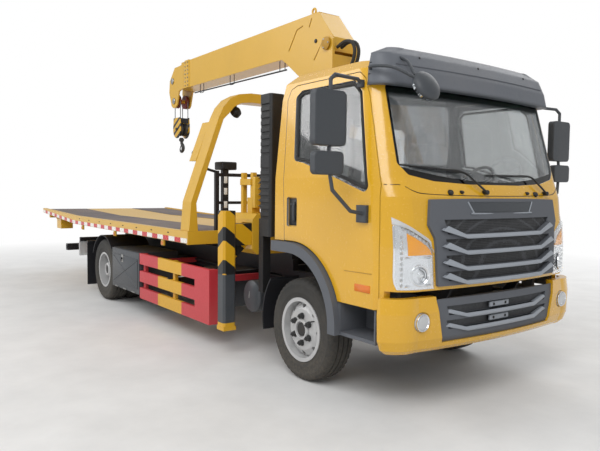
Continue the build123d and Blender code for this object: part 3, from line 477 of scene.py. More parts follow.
def coated(name, colour, dirt=0.25, patches=1.4, dust_height=1.0, smooth=0.25, rough=0.4, grain=None,
           bump=0.04, tint=None, edge=1.0, dirt_colour=ROAD_DUST, **shader_values):
    """A painted, moulded or metal surface; tint may change the colour over the surface."""
    material, wiring, shader = new_material(name)
    paint = tint(wiring, (*colour, 1)) if tint else (*colour, 1)
    inputs = {"Paint": paint, "Dirt": (*dirt_colour, 1), "Dirt Amount": dirt, "Patches": patches,
              "Dust Height": dust_height, "Smooth": smooth, "Rough": rough}
    aged = wiring.add("ShaderNodeGroup", inputs, node_tree=weathering()).outputs
    height = aged["Height"]
    if grain:
        grained = wiring.add("ShaderNodeGroup", {"Grain": grain}, node_tree=moulded_grain())
        height = grained.outputs["Height"]
    inputs = {"Strength": bump, "Distance": RELIEF_DEPTH, "Height": height}
    if edge:
        rounded = wiring.add("ShaderNodeBevel", {"Radius": sizes().edge_radius * edge}, samples=4)
        inputs["Normal"] = rounded.outputs[0]
    relief = wiring.add("ShaderNodeBump", inputs)
    links = material.node_tree.links
    links.new(aged["Color"], shader.inputs["Base Color"])
    links.new(aged["Roughness"], shader.inputs["Roughness"])
    links.new(relief.outputs[0], shader.inputs["Normal"])
    for label, value in shader_values.items():
        shader.inputs[label.replace("_", " ").title().replace("Ior", "IOR")].default_value = value
    return material


def cab_tint(wiring, yellow):
    """Paint outside, and grey trim on what faces the middle of the cab."""
    coordinate = wiring.add("ShaderNodeTexCoord").outputs
    inputs = {0: coordinate["Object"], 1: tuple(place(*CAB_MIDDLE))}
    away = wiring.add("ShaderNodeVectorMath", inputs, operation="SUBTRACT").outputs[0]
    inputs = {0: away, 1: coordinate["Normal"]}
    facing = wiring.add("ShaderNodeVectorMath", inputs, operation="DOT_PRODUCT").outputs["Value"]
    return wiring.mix(wiring.math("LESS_THAN", facing, 0.0), yellow, (*CAB_TRIM, 1))


def leg_tint(wiring, yellow):
    """Yellow with black diagonals above, dark grey below, yellow again at the foot."""
    slope, sleeve_top, foot_top = 0.75, 0.78, 0.335
    along = wiring.math("SUBTRACT", wiring.along(2), wiring.math("MULTIPLY", wiring.along(0), slope))
    along = wiring.math("ADD", along, wiring.math("MULTIPLY", wiring.along(1), slope))
    black, grey = (*colours().black, 1), (*colours().dark_grey, 1)
    upper = wiring.mix(wiring.band(along, 0.30, 0.42), yellow, black)
    low = wiring.math("LESS_THAN", wiring.along(2), sleeve_top)
    foot = wiring.math("LESS_THAN", wiring.along(2), foot_top)
    return wiring.mix(foot, wiring.mix(low, upper, grey), yellow)


def guard_tint(wiring, red):
    """Red ends and a yellow middle along the side guard."""
    middle_rear, middle_front = -2.50, -1.885
    station = wiring.math("SUBTRACT", wiring.along(0), FRONT_AXLE_X)
    middle = wiring.math("MULTIPLY", wiring.math("GREATER_THAN", station, middle_rear),
                         wiring.math("LESS_THAN", station, middle_front))
    return wiring.mix(middle, red, (*colours().yellow, 1))


def block_tint(wiring, yellow):
    """Black diagonals on the hook block."""
    slope = 0.6
    along = wiring.math("SUBTRACT", wiring.along(2), wiring.math("MULTIPLY", wiring.along(0), slope))
    return wiring.mix(wiring.band(along, 0.115, 0.4), yellow, (*colours().black, 1))


def screen_masks(wiring):
    """Where the windscreen's black border and the sun band at its top are."""
    across, up = wiring.math("ABSOLUTE", wiring.along(1)), wiring.along(2)
    ahead = wiring.math("GREATER_THAN", wiring.along(0), FRONT_AXLE_X)
    side_edge = wiring.remap(up, 1.745, 2.304, 0.898, 0.881)
    bottom = wiring.math("MULTIPLY", wiring.math("POWER", across, 2.0), 0.115)
    border = wiring.math("MAXIMUM", wiring.math("GREATER_THAN", across, side_edge),
                         wiring.math("LESS_THAN", up, wiring.math("ADD", bottom, 1.632)))
    border = wiring.math("MAXIMUM", border, wiring.math("GREATER_THAN", up, 2.285))
    sun = wiring.remap(up, 2.222, 2.246)
    return wiring.math("MULTIPLY", border, ahead), wiring.math("MULTIPLY", sun, ahead)


def screen_cover(wiring):
    return wiring.math("MAXIMUM", *screen_masks(wiring))


def screen_tint(wiring, clear):
    """Dark sun band at the top and a black border round the windscreen."""
    border, sun = screen_masks(wiring)
    tinted = wiring.mix(sun, clear, (*srgb(14, 44, 32), 1))
    return wiring.mix(border, tinted, (*srgb(14, 15, 16), 1))


def mesh_and_shade_tint(wiring, dark):
    """Small hexagon-like openings of a pressed mesh: the web is dark grey, and the openings are painted
    near-black as painted shade behind the mesh.
    """
    inputs = {"Vector": wiring.here(), "Scale": 85.0, "Randomness": 0.15}
    cells = wiring.add("ShaderNodeTexVoronoi", inputs, feature="DISTANCE_TO_EDGE").outputs["Distance"]
    return wiring.mix(wiring.remap(cells, 0.06, 0.14), (*srgb(66, 68, 72), 1), dark)


def rope_tint(wiring, steel):
    """Dark lay lines of a wire rope."""
    inputs = {"Vector": wiring.here(), "Scale": 60.0, "Distortion": 2.0}
    lay = wiring.add("ShaderNodeTexWave", inputs, bands_direction="DIAGONAL").outputs["Fac"]
    return wiring.mix(lay, (*srgb(70, 70, 70), 1), steel)


def weave_tint(wiring, thread):
    """Crossed threads of seat cloth."""
    threads = {"Vector": wiring.here(), "Scale": 140.0}
    warp = wiring.add("ShaderNodeTexWave", threads, bands_direction="Y")
    weft = wiring.add("ShaderNodeTexWave", threads, bands_direction="Z")
    crossed = wiring.math("MULTIPLY", warp.outputs["Fac"], weft.outputs["Fac"])
    return wiring.mix(crossed, (*srgb(72, 74, 78), 1), thread)


def grit_tint(wiring, grit):
    """Pale and dark grains of an anti-slip coat, with worn lanes."""
    grains = wiring.add("ShaderNodeTexVoronoi", {"Vector": wiring.here(), "Scale": 130.0}).outputs["Color"]
    lanes = wiring.remap(wiring.noise(0.9, 3.0), 0.35, 0.65)
    toned = wiring.mix(lanes, grit, (*srgb(98, 92, 94), 1))
    return wiring.mix(0.22, toned, grains, "OVERLAY")


def lens(name, colour, roughness, transmission, ribs=0.0, tint=None, alpha=1.0, cover=None):
    """Glass or a moulded lamp lens; cover tells where it is opaque."""
    material, wiring, shader = new_material(name)
    links = material.node_tree.links
    if tint:
        paint = tint(wiring, (*colour, 1))
    else:
        haze = wiring.remap(wiring.noise(9.0), 0.3, 0.7, 0.0, 0.12)
        paint = wiring.mix(haze, (*colour, 1), (*GLASS_HAZE, 1))
    links.new(paint, shader.inputs["Base Color"])
    smear = wiring.remap(wiring.noise(3.0, 5.0), 0.35, 0.8, roughness, roughness + 0.07)
    links.new(smear, shader.inputs["Roughness"])
    shader.inputs["Transmission Weight"].default_value = transmission
    shader.inputs["IOR"].default_value = 1.45
    shader.inputs["Alpha"].default_value = alpha
    if cover:
        links.new(wiring.remap(cover(wiring), 0.0, 1.0, alpha, 1.0), shader.inputs["Alpha"])
    if ribs:
        wave = wiring.add("ShaderNodeTexWave", {"Vector": wiring.here(), "Scale": ribs}, bands_direction="Z")
        inputs = {"Strength": 0.35, "Distance": RELIEF_DEPTH, "Height": wave.outputs["Fac"]}
        links.new(wiring.add("ShaderNodeBump", inputs).outputs[0], shader.inputs["Normal"])
    return material


def floor_finish(name):
    """Pale floor near the truck that fades to plain white further out."""
    material, wiring, shader = new_material(name)
    tree = material.node_tree
    darker, paler = (0.70, 0.70, 0.695, 1), (0.78, 0.78, 0.775, 1)
    fade_start, fade_end = 5.5, 11.0
    tone = wiring.remap(wiring.noise(2.0, 6.0), 0.3, 0.7, 0.0, 1.0)
    tree.links.new(wiring.mix(tone, darker, paler), shader.inputs["Base Color"])
    shader.inputs["Roughness"].default_value = 0.8
    away = wiring.add("ShaderNodeVectorMath", {0: wiring.here()}, operation="LENGTH").outputs["Value"]
    seen = wiring.add("ShaderNodeLightPath").outputs
    rays = wiring.math("MAXIMUM", seen["Is Camera Ray"], seen["Is Glossy Ray"])
    rays = wiring.math("MAXIMUM", rays, seen["Is Transmission Ray"])
    fade = wiring.math("MULTIPLY", wiring.remap(away, fade_start, fade_end), rays)
    white = wiring.add("ShaderNodeEmission", {"Color": (1, 1, 1, 1), "Strength": 1.0})
    mixed = wiring.add("ShaderNodeMixShader", {0: fade, 1: shader.outputs[0], 2: white.outputs[0]})
    tree.links.new(mixed.outputs[0], tree.nodes["Material Output"].inputs["Surface"])
    return material


GLOSS_PAINT = dict(dirt=0.07, smooth=0.16, rough=0.3, bump=0.012, coat_weight=0.6, coat_roughness=0.08)
GRAINED = dict(smooth=0.42, rough=0.55, grain=420.0, bump=0.06)
TAPE = dict(smooth=0.2, rough=0.35, grain=300.0)
# finish: its colour, by name or as screen values, and how it differs from a plain coat
COATS = {
    "cab_yellow": ("yellow", GLOSS_PAINT),
    "cab_paint": ("yellow", dict(GLOSS_PAINT, tint=cab_tint)),
    "crane_yellow": ("crane_yellow", dict(dirt=0.3, smooth=0.3, rough=0.45, bump=0.03, coat_weight=0.25,
                                          coat_roughness=0.2)),
    # a shaded copy of the yellow paint: painted shade in the door's crease and along the boom's weld lines;
    # the turret's pin caps use it too
    "shaded_yellow": ((176, 132, 30), dict(dirt=0.3, smooth=0.4, rough=0.6)),
    "grey_plastic": ("plastic", dict(GRAINED, edge=2.5)),
    "visor_plastic": ("plastic", dict(GRAINED, edge=6.0)),
    "mirror_plastic": ("mirror", dict(GRAINED, edge=3.0)),
    # the grey plastic in a lighter grey for the grille's and bumper's bars, a painted highlight of the light
    # falling on their upper faces
    "painted_highlight_grey": ((150, 156, 164), dict(smooth=0.32, rough=0.45, grain=420.0, bump=0.04)),
    "black_steel": ("black", dict(dirt=0.5, smooth=0.45, rough=0.65, bump=0.08)),
    "black_plastic": ((24, 25, 27), dict(smooth=0.4, rough=0.55, grain=500.0, bump=0.06)),
    "dark_grey": ("dark_grey", dict(dirt=0.3, smooth=0.35, rough=0.5, bump=0.05)),
    "leg_stripes": ("yellow", dict(tint=leg_tint, smooth=0.3, rough=0.45)),
    "guard_paint": ("red", dict(tint=guard_tint, dirt=0.3, smooth=0.35, rough=0.5)),
    "wheel_silver": ("silver", dict(dirt=0.35, smooth=0.28, rough=0.42, metallic=0.55,
                                    dirt_colour=srgb(96, 92, 86))),
    "rubber": ("rubber", dict(dirt=0.45, smooth=0.7, rough=0.85, grain=260.0, bump=0.08)),
    "steel": ((160, 160, 158), dict(smooth=0.25, rough=0.4, metallic=0.9)),
    "chrome": ((225, 227, 230), dict(dirt=0.05, smooth=0.04, rough=0.12, metallic=1.0, bump=0.01)),
    "cast_iron": ((58, 60, 62), dict(smooth=0.45, rough=0.65, metallic=0.5, bump=0.15)),
    "rope": ((150, 150, 148), dict(tint=rope_tint, smooth=0.35, rough=0.5, metallic=0.7)),
    "hook_stripes": ("crane_yellow", dict(tint=block_tint, smooth=0.3, rough=0.5)),
    "sheave_red": ((120, 32, 30), dict(smooth=0.4, rough=0.6)),
    "deck_grit": ("grit", dict(tint=grit_tint, dirt=0.2, smooth=0.75, rough=0.95, bump=0.5)),
    # a dark grey mesh for the grille's and bumper's slots, whose openings are painted shade
    "mesh_and_painted_shade": ((12, 12, 13), dict(tint=mesh_and_shade_tint, smooth=0.5, rough=0.7, edge=0)),
    "tape_red": ((196, 30, 38), TAPE),
    "tape_white": ((232, 230, 224), TAPE),
    "seat_cloth": ("fabric", dict(tint=weave_tint, smooth=0.8, rough=0.95, bump=0.3, edge=0,
                                  sheen_weight=0.3)),
    "dash_plastic": ((70, 72, 76), dict(smooth=0.5, rough=0.65, grain=350.0, bump=0.08)),
    # near-black painted shade for the cab's panel gaps and for the holes and slots of the bumper's slats and
    # the bed's rails
    "painted_gap_shade": ((16, 15, 14), dict(smooth=0.6, rough=0.8, edge=0)),
    "amber_bowl": ((250, 166, 20), dict(dirt=0.05, smooth=0.15, rough=0.3, grain=120.0, bump=0.3,
                                        coat_weight=0.5)),
    "mirror_glass": ((200, 206, 210), dict(dirt=0.05, smooth=0.02, rough=0.06, metallic=1.0, bump=0.0,
                                           edge=0)),
}
# finish: its colour, by name or as screen values, its roughness, its transmission, and what else it has
LENSES = {
    "windscreen": ((206, 213, 216), 0.02, 0.9, dict(tint=screen_tint, alpha=0.4, cover=screen_cover)),
    "side_glass": ((120, 130, 130), 0.02, 0.94, dict(alpha=0.55)),
    "clear_lens": ((236, 240, 242), 0.03, 0.96, dict(alpha=0.3)),
    "amber_lens": ("amber", 0.12, 0.2, dict(ribs=90.0)),
    "red_lens": ((176, 20, 24), 0.12, 0.35, dict(ribs=90.0)),
    "white_lens": ((232, 234, 236), 0.1, 0.3, dict(ribs=90.0)),
}


def named_colour(value):
    return getattr(colours(), value) if isinstance(value, str) else srgb(*value)


def get_finish(name):
    """The named finish, made the first time that it is asked for."""
    if name in bpy.data.materials:
        return bpy.data.materials[name]
    if name in LENSES:
        colour, roughness, transmission, values = LENSES[name]
        return lens(name, named_colour(colour), roughness, transmission, **values)
    colour, values = COATS[name]
    return coated(name, named_colour(colour), **values)


class TRUCK_OT_node_finishes(Operator):
    """Give every CAD node that stays in view its finish"""
    bl_idname = "truck.node_finishes"
    bl_label = "Node Finishes"

    NODES = {
        "black_steel": ("frame", "subframe", "front_axle", "rear_axle", "leaf_springs", "mudguards",
                        "headboard", "lift_arm", "lift_bar", "tilt_frame", "knuckle_right", "knuckle_left"),
        "cast_iron": ("drivetrain",),
        "wheel_silver": ("rim_front_right", "rim_front_left", "rim_rear_right", "rim_rear_left"),
        "cab_paint": ("cab_shell", "door_right", "door_left"),
        "cab_yellow": ("bumper",),
        "crane_yellow": ("crane_base", "turret", "boom_base", "boom_second", "boom_third", "boom_fourth",
                         "bed", "gantry", "luff_barrel"),
        "grey_plastic": ("grille", "flares_and_steps", "bumper_insert"),
        "visor_plastic": ("visor",),
        "mirror_plastic": ("mirror_right", "mirror_left"),
        "black_plastic": ("air_intake",),
        "dark_grey": ("tool_boxes", "tool_lid_right", "tool_lid_left", "tanks"),
        "guard_paint": ("side_guards",),
        "leg_stripes": ("outrigger_beam_right", "outrigger_beam_left", "outrigger_leg_right",
                        "outrigger_leg_left"),
        "windscreen": ("cab_glass",),
        "side_glass": ("door_glass_right", "door_glass_left"),
        "white_lens": ("chassis_lamps",),
        "chrome": ("luff_rod",),
    }

    def execute(self, context):
        for finish, nodes in self.NODES.items():
            for node in nodes:
                finish_node(node, finish)
        return {"FINISHED"}


class TRUCK_OT_wheels(Operator):
    """Make the tyres with their tread, the wheel nuts and the hubs"""
    bl_idname = "truck.wheels"
    bl_label = "Wheels"

    # offset from the tyre's middle, radius
    SIDEWALL = [(0.104, 0.244), (0.108, 0.262), (0.1165, 0.300), (0.118, 0.303), (0.117, 0.306),
                (0.1195, 0.335), (0.1185, 0.366), (0.1198, 0.369), (0.1182, 0.372), (0.113, 0.392),
                (0.106, 0.404)]
    TREAD = [(0.098, 0.412), (0.078, 0.4175), (0.054, 0.419), (0.052, 0.409), (0.045, 0.409), (0.043, 0.4195),
             (0.006, 0.42), (0.004, 0.410)]
    # the offsets between which the shoulder's gaps are cut, and their depth
    SHOULDER, GAP_DEPTH = (0.070, 0.108), 0.008
    # name, station, distances of the tyres' middles from the truck's middle
    WHEELS = [("front", 0.0, (0.856,)), ("rear", -4.5, (0.985, 0.705))]
    # profiles of (distance outward, radius)
    HUB = [(-0.03, 0.09), (0.012, 0.088), (0.02, 0.08), (0.02, 0.066), (0.002, 0.060), (0.002, 0.0)]
    HUB_CAP = [(0.001, 0.056), (0.012, 0.054), (0.014, 0.03), (0.014, 0.0)]
    CAP_REACH = 0.075
    NUT_CIRCLE, NUT_COUNT = 0.111, 6

    def tyre(self, shape, station, y):
        half = self.SIDEWALL + self.TREAD
        profile = [(-offset, radius) for offset, radius in half] + [(o, r) for o, r in reversed(half)]
        blocks = sizes().tread_blocks
        sides = blocks * 3
        rings = []
        for index in range(sides):
            angle = 2 * math.pi * index / sides
            ring = []
            for offset, radius in profile:
                gap = index % 3 == 0 and self.SHOULDER[0] < abs(offset) < self.SHOULDER[1]
                reach = radius - self.GAP_DEPTH if gap else radius
                ring.append(Vector((FRONT_AXLE_X + station + reach * math.cos(angle), y + offset,
                                    AXLE_Z + reach * math.sin(angle))))
            rings.append(ring)
        part = bmesh.new()
        loops = [[part.verts.new(p) for p in ring] for ring in rings]
        join_rings(part, loops + loops[:1])
        shape.take(part, 0)

    def fittings(self, shape, rim, station, side):
        out = LEFTWARD * side
        middle = on_side([rim], station, AXLE_Z + self.CAP_REACH, side) - UPWARD * self.CAP_REACH
        shape.lathe(middle, out, self.HUB, 0, 36)
        shape.lathe(middle, out, self.HUB_CAP, 1, 24)
        for index in range(self.NUT_COUNT):
            angle = 2 * math.pi * (index + 0.5) / self.NUT_COUNT
            spoke = Vector((math.cos(angle), 0, math.sin(angle))) * self.NUT_CIRCLE
            seat = on_side([rim], station + spoke.x, AXLE_Z + spoke.z, side)
            shape.bar(seat, seat + out * 0.007, 0.027, 2, 20)
            shape.bar(seat + out * 0.006, seat + out * 0.032, sizes().nut_radius, 2, 6)
            shape.bar(seat + out * 0.03, seat + out * 0.046, 0.009, 2, 10)
        valve = Vector((middle.x + 0.15, seat.y, AXLE_Z + 0.09)) - out * 0.01
        shape.bar(valve, valve + out * 0.05, 0.005, 1, 8)

    def execute(self, context):
        for axle, station, middles in self.WHEELS:
            for hand, side in SIDES:
                name = f"{axle}_{hand}"
                tyres = Shape()
                for y in middles:
                    self.tyre(tyres, station, side * y)
                add_piece(f"tread_{name}", f"wheel_{name}", tyres, ["rubber"], 40,
                          [f"tyre_{name}"])
                hub = Shape()
                self.fittings(hub, f"rim_{name}", station, side)
                add_piece(f"hub_{name}", f"wheel_{name}", hub,
                          ["wheel_silver", "black_plastic", "cast_iron"])
        return {"FINISHED"}


def level_span(outline, z):
    """Where an outline of (y, z) points is crossed at a height."""
    crossings = []
    for (y0, z0), (y1, z1) in zip(outline, outline[1:] + outline[:1]):
        if min(z0, z1) <= z <= max(z0, z1) and z0 != z1:
            crossings.append(y0 + (y1 - y0) * (z - z0) / (z1 - z0))
    return min(crossings), max(crossings)


def outline_rows(outline, rows, columns):
    """Rows of (y, z) points that fill an outline."""
    low, high = min(z for y, z in outline), max(z for y, z in outline)
    margin = (high - low) * 0.001
    made = []
    for row in range(rows + 1):
        z = low + margin + (high - low - 2 * margin) * row / rows
        start, end = level_span(outline, z)
        made.append([(start + (end - start) * column / columns, z) for column in range(columns + 1)])
    return made


def front_skin(shape, outline, nodes, lift, thickness, finish, rows=6, columns=8):
    """A thin skin that follows the truck's front."""
    grid = [[on_front(nodes, y, z, lift) for y, z in row] for row in outline_rows(outline, rows, columns)]
    shape.patch(grid, FORWARD * thickness, finish)


def mirrored(outline, side):
    """An outline of (y, z) points on the truck's left, or its mirror image on the right."""
    return [(side * y, z) for y, z in outline]


def between(value, marks):
    """A value read off a line through (place, value) marks."""
    for (x0, v0), (x1, v1) in zip(marks, marks[1:]):
        if value <= x1:
            return v0 + (v1 - v0) * (value - x0) / (x1 - x0)
    return marks[-1][1]


def wedge_bar(shape, node, z, finish, lower, upper, depth=0.022, plain_z=None):
    """A bar across the front whose ends sweep up into flat wedges.

    It lies on the node, or on what the node has at plain_z where one is given.
    """
    reach = lower[-1][0]
    half = [0.0, 0.1, 0.2, 0.3] + sorted({mark for mark, rise in lower[1:] + upper[1:]})
    rings = []
    part = bmesh.new()
    for y in [-y for y in reversed(half[1:])] + half:
        low, high = between(abs(y), lower), between(abs(y), upper)
        base = on_front([node], y * 0.985, plain_z or z + (low + high) / 2)
        front = depth * (1 - 0.8 * max(0.0, abs(y) - lower[1][0]) / (reach - lower[1][0]))
        section = ((-0.02, low), (front * 0.8, low), (front, low + (high - low) * 0.3),
                   (front * 0.3, high), (-0.02, high))
        rings.append([part.verts.new(Vector((base.x + ahead, y, z + rise))) for ahead, rise in section])
    join_rings(part, rings, True)
    shape.take(part, finish)


class TRUCK_OT_front(Operator):
    """Make the grille bars, the headlamps, the fog lamps and the bumper's slats"""
    bl_idname = "truck.front"
    bl_label = "Front"

    # slot bottom, slot top
    SLOTS = [(0.945, 1.009), (1.041, 1.121), (1.153, 1.233), (1.265, 1.366)]
    BUMPER_SLOTS = [(0.606, 0.668), (0.704, 0.768)]
    # heights of the grille bars' middles, and of the plain lip of the bumper's insert
    BARS = [0.929, 1.025, 1.137, 1.249]
    INSERT_LIP = 0.795
    # lower and upper edges of the bars: distance from the truck's middle, rise above the bar's middle
    GRILLE_LOWER = [(0.0, -0.0145), (0.44, -0.0145), (0.66, 0.045)]
    GRILLE_UPPER = [(0.0, 0.0145), (0.45, 0.0145), (0.61, 0.075), (0.66, 0.049)]
    BAR_LOWER = [(0.0, -0.014), (0.40, -0.014), (0.60, 0.034)]
    BAR_UPPER = [(0.0, 0.014), (0.408, 0.014), (0.56, 0.054), (0.60, 0.040)]
    # outlines of (distance from the truck's middle, height)
    BADGE_RIM = [(-0.385, 1.488), (-0.335, 1.415), (-0.31, 1.405), (0.31, 1.405), (0.335, 1.415),
                 (0.385, 1.488)]
    BADGE_FIELD = [(-0.33, 1.412), (0.33, 1.412), (0.378, 1.488), (-0.378, 1.488)]
    LAMP = [(0.720, 0.898), (0.982, 0.898), (1.000, 0.955), (0.997, 1.330), (0.958, 1.330), (0.772, 1.222),
            (0.731, 1.148)]
    AMBER = [(0.738, 1.130), (0.922, 1.130), (0.925, 1.278), (0.790, 1.200), (0.752, 1.162)]
    LAMP_CREST = [(0.997, 1.326), (0.999, 1.384), (0.737, 1.228), (0.729, 1.146), (0.770, 1.218),
                  (0.957, 1.326)]
    # profiles of (distance outward, radius)
    BEAM = [(0.0, 0.072), (0.012, 0.070), (0.012, 0.062), (-0.004, 0.045), (0.002, 0.03), (0.010, 0.018),
            (0.012, 0.0)]
    FOG_RING = [(-0.004, 0.061), (0.012, 0.061), (0.014, 0.056), (0.006, 0.050), (-0.003, 0.0)]
    FOG_LENS = [(0.001, 0.050), (0.009, 0.046), (0.015, 0.028), (0.017, 0.0)]

    def grille(self):
        shape = Shape()
        for bottom, top in self.SLOTS:
            outline = [(-0.598, bottom), (0.598, bottom), (0.621, top), (-0.621, top)]
            front_skin(shape, outline, ["cab_shell"], 0.002, 0.004, 1, 2, 40)
        for z in self.BARS:
            wedge_bar(shape, "grille", z, 0, self.GRILLE_LOWER, self.GRILLE_UPPER, 0.012)
        shape.tube([on_front(["grille"], y, z, 0.001) for y, z in self.BADGE_RIM], 0.006, 0, 8, 8)
        front_skin(shape, self.BADGE_FIELD, ["grille"], -0.001, 0.003, 2, 3, 20)
        # The bars and the badge's rim are in a lighter grey, a painted highlight.
        add_piece("grille_bars", "cab", shape,
                  ["painted_highlight_grey", "mesh_and_painted_shade", "mirror_plastic"], 25)

    def headlamp(self, hand, side):
        shape = Shape()
        lamp = mirrored(self.LAMP, side)
        front_skin(shape, lamp, ["cab_shell"], 0.001, 0.003, 0, 10, 8)
        front_skin(shape, mirrored(self.AMBER, side), ["cab_shell"], 0.004, 0.006, 1, 5, 5)
        crest = mirrored(self.LAMP_CREST, side)
        front_skin(shape, crest, ["headlamps", "cab_shell"], 0.001, 0.004, 2, 10, 4)
        for z in (0.925, 1.115):
            start = on_front(["cab_shell"], side * 0.745, z, 0.006)
            end = on_front(["cab_shell"], side * 0.94, z, 0.006)
            shape.tube([start, (start + end) / 2, end], 0.006, 0, 8)
        beam = on_front(["cab_shell"], side * 0.835, 0.995, 0.003)
        normal = Vector((0.92, side * 0.39, 0)).normalized()
        shape.lathe(beam, normal, self.BEAM, 0, 32)
        chain = [(0.962, 0.93 + 0.036 * step) for step in range(10)]
        chain += [(0.945 - 0.028 * step, 1.306 - 0.0165 * step) for step in range(7)]
        for y, z in chain:
            seat = on_front(["cab_shell"], side * y, z, 0.006)
            shape.box(seat - Vector((0.004, 0.011, 0.010)), seat + Vector((0.005, 0.011, 0.010)), 2, 0.003)
        add_piece(f"headlamp_bowl_{hand}", "cab", shape,
                  ["chrome", "amber_bowl", "white_lens"], 30)
        cover = Shape()
        front_skin(cover, lamp, ["headlamps"], -0.003, 0.003, 0, 10, 8)
        add_piece(f"headlamp_cover_{hand}", "cab", cover, ["clear_lens"], 30,
                  ["headlamps"] if side < 0 else [])

    def bumper(self):
        shape = Shape()
        for bottom, top in self.BUMPER_SLOTS:
            outline = [(-0.575, bottom), (0.575, bottom), (0.597, top), (-0.597, top)]
            front_skin(shape, outline, ["bumper_insert"], 0.001, 0.003, 1, 2, 30)
            wedge_bar(shape, "bumper_insert", bottom - 0.014, 0, self.BAR_LOWER, self.BAR_UPPER,
                      plain_z=self.INSERT_LIP)
        for y, z in ((-0.02, 0.735), (-0.02, 0.636)):
            seat = on_front(["bumper_insert"], y, z, 0.030)
            shape.box(seat + Vector((-0.012, -0.115, -0.021)), seat + Vector((0.004, 0.115, 0.021)), 0, 0.008)
            # Near-black discs for the slats' holes, painted shade.
            for hole in (-0.07, 0.07):
                centre = seat + Vector((0.003, hole, 0))
                shape.bar(centre, centre + FORWARD * 0.004, 0.010, 2, 16)
        # The bars and the slats are in a lighter grey, a painted highlight.
        add_piece("bumper_slats", "chassis", shape, ["painted_highlight_grey", "mesh_and_painted_shade", "painted_gap_shade"], 25)
        lamps = Shape()
        for hand, side in SIDES:
            seat = on_front(["chassis_lamps"], side * 0.836, 0.681)
            lamps.lathe(seat, FORWARD, self.FOG_RING, 1, 36)
            lamps.lathe(seat, FORWARD, self.FOG_LENS, 0, 36)
        add_piece("fog_lamps", "chassis", lamps, ["white_lens", "chrome"], 30)

    def execute(self, context):
        self.grille()
        for hand, side in SIDES:
            self.headlamp(hand, side)
        self.bumper()
        return {"FINISHED"}


